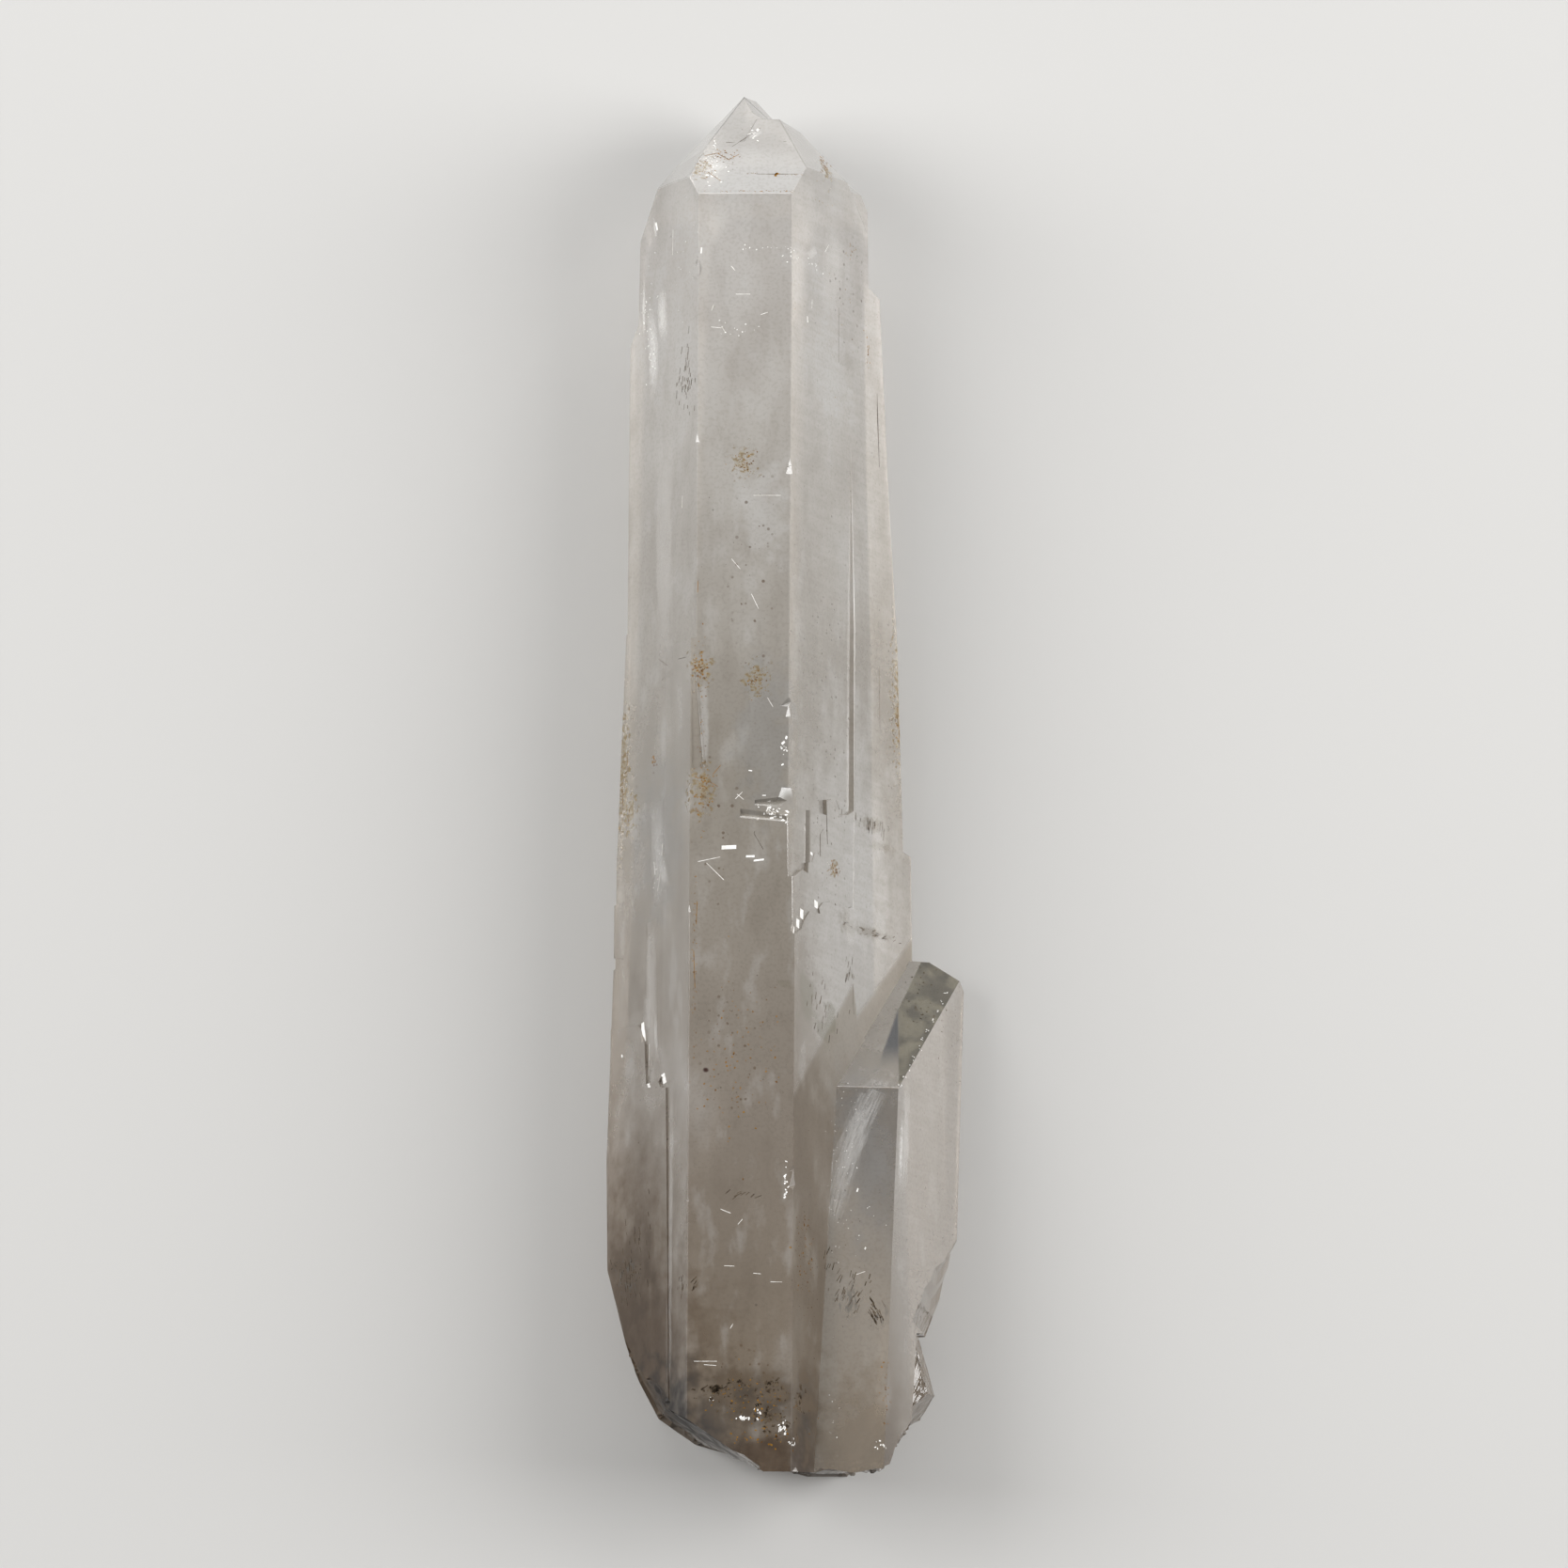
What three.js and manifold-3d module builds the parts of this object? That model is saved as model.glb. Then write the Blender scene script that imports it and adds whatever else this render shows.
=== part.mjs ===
// A rock crystal point lying on one of its prism faces: a tapered quartz crystal with a
// six-sided point, thin growth plates that end in zigzag steps, a smaller crystal grown
// into its right side, and a foot broken off in shell-shaped flakes.
// Millimetres, +Z up, the point towards +Y. While the crystal is put together, the tip of
// the point is at 0, 0, 0 and the foot lies towards -Y. It is centred over the origin last.

import * as THREE from 'three';
import { ConvexGeometry } from 'three/addons/geometries/ConvexGeometry.js';
import { mergeVertices } from 'three/addons/utils/BufferGeometryUtils.js';
import Module from 'manifold-3d';

const wasm = await Module();
wasm.setup();

// The prism: how far each face stands from the axis at the shoulder, and how much it
// widens towards the foot. Faces are named by the way they look when the crystal lies.
const SHOULDER = -16;
const FOOT = -192;
const POINT_SLOPE = 38.2;
const FRONT = { azimuth: 0, distance: 13, taper: 0.8 };
const LEFT_FRONT = { azimuth: -60, distance: 11.85, taper: 0.6 };
const LEFT_BACK = { azimuth: -120, distance: 12.3, taper: 1.5 };
const REST = { azimuth: 180, distance: 16, taper: 0 };
const RIGHT_BACK = { azimuth: 120, distance: 16.5, taper: 0.8 };
const RIGHT_FRONT = { azimuth: 60, distance: 11.82, taper: 0.1 };

// How far the growth plates stand above the faces that carry them.
const RIGHT_PLATE = 0.62;
const ZIGZAG_PLATE = 0.58;
const LOWER_ZIGZAG_PLATE = 0.25;
const LEFT_PLATE = 0.35;
const PLATE_ROOT = 2;

// The side crystal: the corner of its front face, and how far its axis leans.
const SIDE_CORNER = new THREE.Vector3(20.1, -134.2, 4.9);
const SIDE_LEAN_RIGHT = 1.3;
const SIDE_DIP = 3.5;
const SIDE_UNDERSIDE = -15.4;

// A distance that is clear of the crystal, for the open sides of what is cut off or kept.
const CLEAR = 60;

const degrees = THREE.MathUtils.degToRad;

// A flat bound of a crystal: points with normal . point <= distance are inside.
function bound(normal, distance) {
  const length = normal.length();
  return { normal: normal.clone().divideScalar(length), distance: distance / length };
}

function radial(azimuth) {
  const angle = degrees(azimuth);
  return new THREE.Vector3(Math.sin(angle), 0, Math.cos(angle));
}

// A prism face, at its distance from the axis at the height given.
function prismFace({ azimuth, distance, taper }, height = SHOULDER) {
  const slope = Math.tan(degrees(taper));
  const normal = radial(azimuth).add(new THREE.Vector3(0, slope, 0));
  return bound(normal, distance + slope * height);
}

// A face of the point, at the true slope of quartz, the offset away from the tip.
function pointFace(azimuth, offset) {
  const slope = degrees(POINT_SLOPE);
  const normal = radial(azimuth).multiplyScalar(Math.cos(slope));
  return bound(normal.add(new THREE.Vector3(0, Math.sin(slope), 0)), offset);
}

// A face that is off the true slope, through one point of it.
function oddFace(x, y, z, through) {
  const normal = new THREE.Vector3(x, y, z);
  return bound(normal, normal.dot(through));
}

function wider(face, distance, taper = face.taper) {
  return { ...face, distance, taper };
}

function solidFrom(geometry) {
  const bare = geometry.clone();
  bare.deleteAttribute('normal');
  bare.deleteAttribute('uv');
  const merged = mergeVertices(bare, 1e-5);
  return new wasm.Manifold(new wasm.Mesh({
    numProp: 3,
    vertProperties: new Float32Array(merged.attributes.position.array),
    triVerts: new Uint32Array(merged.index.array),
  }));
}

// Where three bounds meet, if they do.
function meeting(a, b, c) {
  const across = new THREE.Vector3().crossVectors(b.normal, c.normal);
  const volume = a.normal.dot(across);
  if (Math.abs(volume) < 1e-6) {
    return null;
  }
  const point = across.multiplyScalar(a.distance);
  point.addScaledVector(new THREE.Vector3().crossVectors(c.normal, a.normal), b.distance);
  point.addScaledVector(new THREE.Vector3().crossVectors(a.normal, b.normal), c.distance);
  return point.divideScalar(volume);
}

// One growth individual: the space inside all of its flat bounds.
function individualGeometry(bounds) {
  const corners = [];
  for (let i = 0; i < bounds.length; i += 1) {
    for (let j = i + 1; j < bounds.length; j += 1) {
      for (let k = j + 1; k < bounds.length; k += 1) {
        const corner = meeting(bounds[i], bounds[j], bounds[k]);
        if (corner && bounds.every((b) => b.normal.dot(corner) <= b.distance + 1e-6)) {
          corners.push(corner);
        }
      }
    }
  }
  return new ConvexGeometry(corners);
}

function individual(bounds) {
  return solidFrom(individualGeometry(bounds));
}

// Bounds square to one direction: rightOf(x) keeps what is right of x, and so on.
const rightOf = (x) => bound(new THREE.Vector3(-1, 0, 0), -x);
const leftOf = (x) => bound(new THREE.Vector3(1, 0, 0), x);
const tipwardOf = (y) => bound(new THREE.Vector3(0, -1, 0), -y);
const footwardOf = (y) => bound(new THREE.Vector3(0, 1, 0), y);
const above = (z) => bound(new THREE.Vector3(0, 0, -1), -z);
const below = (z) => bound(new THREE.Vector3(0, 0, 1), z);

const footEnd = tipwardOf(FOOT);

// The main crystal and the blocks grown parallel to it. Each block is wider on one side
// and ends in its own small ledge, so the sides go down in steps.
function mainCrystal() {
  const leftBevel = oddFace(-0.66, 0.68, 0.35, new THREE.Vector3(-3.0, -4.66, 3.66));
  const leftBack = oddFace(-0.737, 0.525, -0.425, new THREE.Vector3(-0.16, 0.06, 0));
  const tipBlock = individual([
    pointFace(0, 0),
    leftBevel,
    pointFace(60, -0.15),
    pointFace(120, 2),
    leftBack,
    pointFace(-60, 1.05),
    pointFace(180, 3),
    prismFace(wider(FRONT, FRONT.distance - 0.2)),
    prismFace(wider(LEFT_FRONT, LEFT_FRONT.distance - 0.1)),
    prismFace(LEFT_BACK),
    prismFace(REST),
    prismFace(RIGHT_BACK),
    prismFace(wider(RIGHT_FRONT, RIGHT_FRONT.distance - 0.1)),
    footEnd,
  ]);
  const shoulderBlock = individual([
    pointFace(0, 0.25),
    pointFace(60, 2),
    pointFace(120, 1.9),
    pointFace(-60, -2.14),
    oddFace(0.02, 0.95, -0.3, new THREE.Vector3(1.6, -3.8, 3.3)),
    prismFace(FRONT),
    prismFace(wider(LEFT_FRONT, LEFT_FRONT.distance - 0.2)),
    prismFace(wider(LEFT_BACK, 11.5)),
    prismFace(wider(REST, 15.6)),
    prismFace(wider(RIGHT_BACK, 16.3)),
    prismFace(RIGHT_FRONT),
    footEnd,
  ]);
  const leftBlock = individual([
    pointFace(0, 0.25),
    oddFace(-0.1, 1, 0.12, new THREE.Vector3(-4, -7.9, 6)),
    leftBevel,
    leftBack,
    pointFace(-60, 1),
    pointFace(60, 1.5),
    pointFace(180, -2),
    prismFace(FRONT),
    prismFace(LEFT_FRONT),
    prismFace(wider(LEFT_BACK, 12.2)),
    prismFace(wider(REST, 15.6)),
    prismFace(wider(RIGHT_BACK, 8)),
    prismFace(wider(RIGHT_FRONT, 9)),
    footEnd,
  ]);
  const rightShoulder = individual([
    pointFace(0, 0),
    pointFace(60, 1.3),
    pointFace(120, 3.75),
    oddFace(0.6, 0.8, 0.1, new THREE.Vector3(12.1, -10.3, -3)),
    prismFace(wider(RIGHT_FRONT, RIGHT_FRONT.distance - 0.05)),
    prismFace(wider(RIGHT_BACK, RIGHT_BACK.distance - 0.1)),
    prismFace(wider(REST, 12)),
    rightOf(0),
    below(6),
    footEnd,
  ]);
  return tipBlock.add(shoulderBlock).add(leftBlock).add(rightShoulder);
}

// A block that widens one back face below a height. Its front face is set back a little
// from the main one, which leaves a fine line along the edge.
function sideBlock({ top, ledge, back, front, limits = [] }) {
  const bounds = [
    bound(new THREE.Vector3(ledge.x, ledge.y, ledge.z), ledge.dot(top)),
    prismFace(back, top.y),
    prismFace(front),
    prismFace(wider(FRONT, FRONT.distance - 4)),
    prismFace(wider(REST, REST.distance - 0.35)),
    top.x > 0 ? rightOf(0) : leftOf(0),
    footwardOf(top.y + 2),
    footEnd,
  ];
  return individual([...bounds, ...limits]);
}

function leftBlocks() {
  const setBack = wider(LEFT_FRONT, LEFT_FRONT.distance - 0.12);
  const upper = sideBlock({
    top: new THREE.Vector3(-14.2, -31.4, -3),
    ledge: new THREE.Vector3(-0.87, 0.45, -0.1),
    back: { azimuth: -120, distance: 14.7, taper: 0 },
    front: setBack,
  });
  const middle = sideBlock({
    top: new THREE.Vector3(-15.5, -72, -3),
    ledge: new THREE.Vector3(-0.8, 0.5, 0.1),
    back: { azimuth: -120, distance: 15.1, taper: 3.4 },
    front: wider(setBack, setBack.distance - 0.1),
    limits: [prismFace({ azimuth: -120, distance: 16.95, taper: 0 })],
  });
  const lower = sideBlock({
    top: new THREE.Vector3(-17.2, -117.5, -3),
    ledge: new THREE.Vector3(-0.7, 0.6, 0.2),
    back: { azimuth: -120, distance: 17.6, taper: 2.8 },
    front: wider(setBack, setBack.distance - 0.2),
    limits: [prismFace({ azimuth: -120, distance: 20, taper: -1.6 }, -100)],
  });
  const bulge = individual([
    prismFace({ azimuth: -120, distance: 17.25, taper: 0 }),
    prismFace(wider(LEFT_FRONT, LEFT_FRONT.distance - 0.07)),
    oddFace(-0.4, 0.9, 0.1, new THREE.Vector3(-17.4, -108.6, -4)),
    oddFace(-0.4, -0.9, 0.1, new THREE.Vector3(-17.4, -115.4, -4)),
    prismFace(wider(FRONT, 4)),
    prismFace(wider(REST, 12)),
    bound(radial(60), 4),
  ]);
  // The left edge of the front face steps out here, along a face turned a little outwards.
  const swell = individual([
    prismFace(FRONT),
    prismFace({ azimuth: -64.4, distance: 11.75, taper: LEFT_FRONT.taper }),
    oddFace(-0.2, 0.97, 0.1, new THREE.Vector3(-7, -75.8, 13)),
    leftOf(0),
    above(-3),
    footEnd,
  ]);
  return upper.add(middle).add(lower).add(bulge).add(swell);
}

function rightBlocks() {
  const setBack = wider(RIGHT_FRONT, RIGHT_FRONT.distance - 0.12);
  const upper = sideBlock({
    top: new THREE.Vector3(16.7, -25.4, -4),
    ledge: new THREE.Vector3(0.7, 0.7, 0.12),
    back: { azimuth: 120, distance: 19.3, taper: 4.3 },
    front: setBack,
    limits: [prismFace({ azimuth: 120, distance: 22.1, taper: 2.6 }, -62)],
  });
  const lower = sideBlock({
    top: new THREE.Vector3(21.1, -100.2, -11),
    ledge: new THREE.Vector3(0.5, 0.85, 0.1),
    back: { azimuth: 120, distance: 25.6, taper: 1 },
    front: wider(setBack, setBack.distance + RIGHT_PLATE),
  });
  return upper.add(lower);
}

// The long raised plate on the right of the right front face. Its riser is parallel to
// the front face, and it thins out towards the point.
function rightPlate() {
  const flushAt = -47;
  const fullAt = -72;
  const slope = RIGHT_PLATE / (flushAt - fullAt) + Math.tan(degrees(RIGHT_FRONT.taper));
  const thinning = THREE.MathUtils.radToDeg(Math.atan(slope));
  const flush = RIGHT_FRONT.distance + Math.tan(degrees(RIGHT_FRONT.taper)) * (SHOULDER - flushAt);
  return individual([
    prismFace(wider(RIGHT_FRONT, RIGHT_FRONT.distance + RIGHT_PLATE)),
    prismFace({ azimuth: 60, distance: flush, taper: thinning }, flushAt),
    prismFace({ azimuth: 0, distance: -0.83, taper: FRONT.taper }),
    prismFace({ azimuth: 120, distance: 19, taper: 4.2 }, -26),
    prismFace({ azimuth: 120, distance: 21.9, taper: 2.6 }, -62),
    footwardOf(-40),
    bound(radial(240), 0),
    bound(radial(180), 12),
    footEnd,
  ]);
}

// A thin plate on a prism face, from its outline in millimetres across the face and along
// the crystal, standing the rise above the face.
function facePlate(face, outline, rise) {
  const { normal, distance } = prismFace(face);
  const angle = degrees(face.azimuth);
  const across = new THREE.Vector3(Math.cos(angle), 0, -Math.sin(angle));
  const along = new THREE.Vector3().crossVectors(normal, across);
  const shape = new THREE.Shape(outline.map(([u, y]) => new THREE.Vector2(u, y)));
  const geometry = new THREE.ExtrudeGeometry(shape, { depth: PLATE_ROOT + rise, bevelEnabled: false });
  geometry.translate(0, 0, distance - PLATE_ROOT);
  geometry.applyMatrix4(new THREE.Matrix4().makeBasis(across, along, normal));
  return solidFrom(geometry);
}

// Two plates on the right front face, with the zigzag edges they stopped growing at.
function zigzagPlates() {
  const upper = facePlate(RIGHT_FRONT, [
    [7.4, -96.3], [5.2, -97.3], [3.1, -97.6], [0.9, -95.9], [-0.3, -96.2], [0, -102.1],
    [-1.1, -100.2], [-1.9, -101], [-1.9, -104], [-3.5, -103.8], [-4.1, -105], [-5.2, -105.3],
    [-5.3, -106.6], [-6.8, -106.4], [-8.6, -107.6], [-10.6, -107.9], [-13.5, FOOT], [7.4, FOOT],
  ], ZIGZAG_PLATE);
  const lower = facePlate(RIGHT_FRONT, [
    [9.2, -109.7], [2.6, -110], [-1.7, -110.1], [-2.8, -111], [-2.5, -111.7],
    [-5.2, -111.8], [-6.8, -113.3], [-7.5, -114.5], [-9.2, -115.3], [-11.6, -115.8],
    [-14.5, FOOT], [9.2, FOOT],
  ], ZIGZAG_PLATE + LOWER_ZIGZAG_PLATE);
  return upper.add(lower);
}

function leftPlate() {
  return facePlate(LEFT_FRONT, [
    [-12.4, -125.2], [-4.9, -125.6], [-3.2, -128.4], [-2.7, -133.8], [1.3, -133.3], [0.6, -133.9],
    [1.3, -134.8], [2.6, -134.9], [3.9, -166.6], [4.6, FOOT], [-12.4, FOOT],
  ], LEFT_PLATE);
}

// The plates are trimmed to the prism, so that none stands over its edges.
function plates() {
  const trim = individual([
    prismFace(FRONT),
    prismFace(wider(LEFT_FRONT, LEFT_FRONT.distance + 2)),
    prismFace({ azimuth: -120, distance: 20, taper: 0 }),
    prismFace(wider(REST, 12)),
    prismFace({ azimuth: 120, distance: 26, taper: 0 }),
    prismFace(wider(RIGHT_FRONT, RIGHT_FRONT.distance + 2)),
    footwardOf(SHOULDER),
    footEnd,
  ]);
  return rightPlate().add(zigzagPlates()).add(leftPlate()).intersect(trim);
}

// The smaller crystal grown into the right side. It is built upright at its front corner
// and then leans to the right and dips at the tip.
function sideCrystal() {
  const reach = 75;
  const corner = new THREE.Vector3(0, 0, 0);
  const geometry = individualGeometry([
    oddFace(0, 0.618, 0.786, corner),
    oddFace(0.681, 0.618, -0.393, new THREE.Vector3(8.4, 16.4, -15)),
    oddFace(0.05, 0.97, 0.1, new THREE.Vector3(4, 20.6, -16)),
    oddFace(0, 0.0436, 0.999, corner),
    oddFace(0.866, 0.007, 0.5, corner),
    oddFace(0.866, -0.02, -0.5, new THREE.Vector3(8.4, 14, -14.9)),
    oddFace(0, 0, -1, new THREE.Vector3(0, 0, -24)),
    oddFace(-1, 0, 0, new THREE.Vector3(-16, 0, 0)),
    oddFace(0, -1, 0, new THREE.Vector3(0, -reach, 0)),
  ]);
  geometry.rotateX(-degrees(SIDE_DIP));
  geometry.rotateZ(-degrees(SIDE_LEAN_RIGHT));
  geometry.translate(SIDE_CORNER.x, SIDE_CORNER.y, SIDE_CORNER.z);
  const aboveFloor = individual([
    above(SIDE_UNDERSIDE),
    below(CLEAR),
    leftOf(CLEAR),
    rightOf(-CLEAR),
    footwardOf(0),
    tipwardOf(FOOT - CLEAR),
  ]);
  return solidFrom(geometry).intersect(aboveFloor);
}

// A stub of a third crystal beside the foot: a wedge with flat faces towards the point,
// broken off across its own foot.
function stub() {
  const corner = new THREE.Vector3(25, -173.6, -5);
  return individual([
    oddFace(0.93, 0.24, 0.28, corner),
    oddFace(0.7, -0.68, 0.2, corner),
    oddFace(0.75, 0.2, -0.63, corner),
    oddFace(0.3, 0.12, 0.95, new THREE.Vector3(22, -171, -1.6)),
    oddFace(-0.2, 0.98, 0.1, new THREE.Vector3(22.6, -165.6, -5)),
    oddFace(0.3, -0.9, -0.3, new THREE.Vector3(20.6, -178.4, -5)),
    rightOf(16),
    above(-13),
  ]);
}

// A shell-shaped flake scar: rings around the point that the blow struck, sinking to its
// depth part of the way out and rising again at its reach. It faces away from the crystal.
function flake({ at, facing, reach, depth, rings = 7, sides = 26, ripple = 0.03, turn = 0 }) {
  const profile = [new THREE.Vector2(0, 0)];
  for (let i = 1; i <= rings; i += 1) {
    const out = i / rings;
    const wave = ripple * reach * (i % 2 === 0 ? 0.5 : -0.5) * (1 - out);
    profile.push(new THREE.Vector2(out * reach, wave - depth * Math.sin(Math.PI * out ** 0.8)));
  }
  profile.push(new THREE.Vector2(reach * 1.12, reach * 0.35));
  profile.push(new THREE.Vector2(reach * 0.9, reach * 0.9));
  profile.push(new THREE.Vector2(0, reach * 1.1));
  const geometry = new THREE.LatheGeometry(profile, sides);
  const position = geometry.attributes.position;
  for (let i = 0; i < position.count; i += 1) {
    const angle = Math.atan2(position.getZ(i), position.getX(i)) + turn;
    const swell = 1 + 0.1 * Math.cos(2 * angle) + 0.06 * Math.cos(5 * angle + 1);
    position.setX(i, position.getX(i) * swell);
    position.setZ(i, position.getZ(i) * swell);
  }
  const up = new THREE.Vector3(...facing).normalize();
  const turned = new THREE.Quaternion().setFromUnitVectors(new THREE.Vector3(0, 1, 0), up);
  geometry.applyQuaternion(turned);
  geometry.translate(...at);
  return solidFrom(geometry);
}

// The broken outline of the foot before its flakes: one sloping break right across and the
// corners knocked off on both sides.
function footBreak() {
  return individual([
    oddFace(0, -0.995, -0.1, new THREE.Vector3(5, -186, 15)),
    oddFace(-0.275, -0.96, -0.163, new THREE.Vector3(-4, -179.4, -16)),
    oddFace(-0.57, -0.82, -0.03, new THREE.Vector3(-7.4, -179.2, 15)),
    oddFace(-0.87, -0.5, 0, new THREE.Vector3(-13, -172.5, -8)),
    oddFace(-0.97, -0.25, 0, new THREE.Vector3(-16.4, -163.5, -4)),
    oddFace(0.8, -0.556, -0.228, new THREE.Vector3(21.4, -179.1, 2.9)),
    oddFace(0.6, -0.8, 0.05, new THREE.Vector3(17.7, -185.3, 6)),
    footwardOf(CLEAR),
    below(CLEAR),
    above(-REST.distance),
    leftOf(CLEAR),
    rightOf(-CLEAR),
  ]);
}

// The right side of the side crystal is broken away near the foot: a long slanting break,
// and below it an upright one that the stub stands in.
function sideBreaks() {
  const stepDown = -166;
  const slanting = individual([
    oddFace(-0.925, 0.38, 0, new THREE.Vector3(27.1, -156.4, -6.3)),
    tipwardOf(stepDown - 0.3),
    footwardOf(-120),
    leftOf(CLEAR),
    below(CLEAR),
    above(-CLEAR),
  ]);
  const upright = individual([
    oddFace(-0.965, 0.09, 0.24, new THREE.Vector3(22.3, -166, 1.2)),
    bound(new THREE.Vector3(0, 1, 0.1), stepDown),
    tipwardOf(FOOT - CLEAR),
    leftOf(CLEAR),
    below(CLEAR),
    above(-CLEAR),
  ]);
  return slanting.add(upright);
}

// The foot is broken right across, and its rim is flaked all round.
function footScars() {
  const wide = { rings: 12, sides: 40 };
  const shell = { rings: 8 };
  const small = { rings: 5, sides: 18 };
  return [
    flake({ at: [5, -187, 15.6], facing: [0, -0.99, -0.1], reach: 32, depth: 1.2, ...wide }),
    flake({ at: [-6.5, -181.3, 14], facing: [-0.55, -0.83, 0], reach: 13, depth: 0.9, turn: 1, ...shell }),
    flake({ at: [-11.2, -178, -3], facing: [-6, -7.8, -1], reach: 12, depth: 0.9, turn: 2, ...shell }),
    flake({ at: [-16, -168, -5], facing: [-0.92, -0.38, 0], reach: 13, depth: 0.9, turn: 3, ...shell }),
    flake({ at: [-13.2, -172.6, 5], facing: [-17, -9.6, 4], reach: 7, depth: 0.5, turn: 4, ...small }),
    flake({ at: [27.6, -152.5, -4], facing: [6.1, -2.3, 1], reach: 15, depth: 0.6, turn: 5, ...shell }),
    flake({ at: [21.2, -180.2, 2], facing: [0.87, -0.48, 0], reach: 10, depth: 0.8, turn: 0.5 }),
    flake({ at: [13, -186.6, 11], facing: [0.1, -0.93, 0.35], reach: 6, depth: 0.5, turn: 1.5, ...small }),
    flake({ at: [-4, -182.8, 15.4], facing: [-0.3, -0.7, 0.65], reach: 6, depth: 0.5, turn: 2.5, ...small }),
    flake({ at: [0.3, -181, -14], facing: [-0.2, -0.97, -0.1], reach: 3.2, depth: 0.8, turn: 1, ...small }),
    flake({ at: [14.9, -183.3, -14], facing: [0, -0.99, 0.1], reach: 2.4, depth: 0.7, turn: 2, ...small }),
    flake({ at: [-9.4, -177.4, -13], facing: [-0.5, -0.86, 0], reach: 3, depth: 0.5, turn: 3, ...small }),
    flake({ at: [24, -175.4, -3.5], facing: [0.7, -0.6, 0.4], reach: 3, depth: 0.4, turn: 4, ...small }),
    flake({ at: [24.2, -170.6, -3.4], facing: [0.8, 0.2, 0.55], reach: 1.9, depth: 0.25, turn: 5, ...small }),
  ];
}

// A shallow trough along the left edge of the front face. Its floor sinks away from the
// edge and its right wall slants.
function edgeTrough() {
  return individual([
    oddFace(-0.12, 0.004, -0.99, new THREE.Vector3(-6.2, -87, 13.72)),
    oddFace(0.75, 0.07, -0.66, new THREE.Vector3(-5.75, -87, 13.9)),
    rightOf(-6.95),
    oddFace(0.1, 1, 0, new THREE.Vector3(-6, -80.6, 14)),
    oddFace(0, -1, 0, new THREE.Vector3(-6, -93.2, 14)),
    below(CLEAR),
  ]);
}

// An angular chip: flat breaks that meet at its deepest point, each given by the way it
// faces once the chip is gone.
function chip(at, ...breaks) {
  const reach = 3;
  const deepest = new THREE.Vector3(...at);
  return individual([
    ...breaks.map(([x, y, z]) => oddFace(-x, -y, -z, deepest)),
    rightOf(deepest.x - reach),
    leftOf(deepest.x + reach),
    tipwardOf(deepest.y - reach),
    footwardOf(deepest.y + reach),
    above(deepest.z - reach),
    below(deepest.z + reach),
  ]);
}

// Small chips along the edges of the prism.
function edgeChips() {
  const toPoint = [0.05, 0.56, 0.83];
  const toFoot = [0.1, -0.8, 0.6];
  const toRight = [0.53, -0.12, 0.84];
  const toLeft = [-0.55, -0.1, 0.83];
  const steepToPoint = [0.2, 0.85, 0.48];
  return [
    chip([5.45, -84.6, 13.65], toPoint, [0.5, -0.45, 0.74]),
    chip([5.85, -86.4, 13.65], steepToPoint, toRight),
    chip([6.0, -91.6, 13.9], toPoint, [0.6, -0.5, 0.62]),
    chip([4.3, -97.6, 13.55], toPoint, toFoot),
    chip([5.3, -98.8, 13.4], [0.3, 0.6, 0.74], toRight),
    chip([2.4, -99.6, 13.8], toPoint, [-0.1, -0.6, 0.79]),
    chip([6.0, -52.8, 13.27], toPoint, [0.55, -0.5, 0.67]),
    chip([5.8, -53.9, 13.27], steepToPoint, toRight),
    chip([6.25, -146.4, 14.65], toPoint, [0.5, -0.3, 0.81]),
    chip([6.1, -148.6, 14.65], [0.3, 0.5, 0.81], toRight),
    chip([-7.45, -112.3, 14.1], [-0.3, 0.6, 0.74], toLeft),
    chip([-7.65, -150.4, 14.6], [-0.3, 0.5, 0.81], toLeft),
    chip([-18.1, -128, -6], [-0.9, 0.4, 0.2], [-0.85, -0.5, 0.2]),
    chip([-16.7, -97, -4], [-0.9, 0.4, 0.2], [-0.8, -0.6, 0.1]),
    chip([-6.6, -49.6, 13.1], [-0.4, 0.5, 0.77], toLeft),
  ];
}

let crystal = mainCrystal().add(leftBlocks()).add(rightBlocks()).add(plates()).add(sideCrystal());
crystal = crystal.intersect(footBreak()).subtract(sideBreaks()).add(stub()).subtract(edgeTrough());
for (const scar of [...footScars(), ...edgeChips()]) {
  crystal = crystal.subtract(scar);
}

function crystalGeometry(solid) {
  const mesh = solid.getMesh();
  const geometry = new THREE.BufferGeometry();
  geometry.setAttribute('position', new THREE.BufferAttribute(new Float32Array(mesh.vertProperties), 3));
  geometry.setIndex(new THREE.BufferAttribute(new Uint32Array(mesh.triVerts), 1));
  geometry.computeBoundingBox();
  const { min, max } = geometry.boundingBox;
  geometry.translate(-(min.x + max.x) / 2, -(min.y + max.y) / 2, -min.z);
  geometry.computeVertexNormals();
  return geometry;
}

const quartz = new THREE.MeshStandardMaterial({ color: 0xdcd6cf, roughness: 0.12, metalness: 0 });
const rockCrystal = new THREE.Mesh(crystalGeometry(crystal), quartz);
rockCrystal.name = 'rock_crystal';

const part = new THREE.Group();
part.add(rockCrystal);

export default part;
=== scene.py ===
"""A rock crystal point lying on a pale studio floor, seen from above its front prism face."""
import math
import random

import bmesh
import bpy
from mathutils import Matrix, Vector, noise
from mathutils.bvhtree import BVHTree


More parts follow.
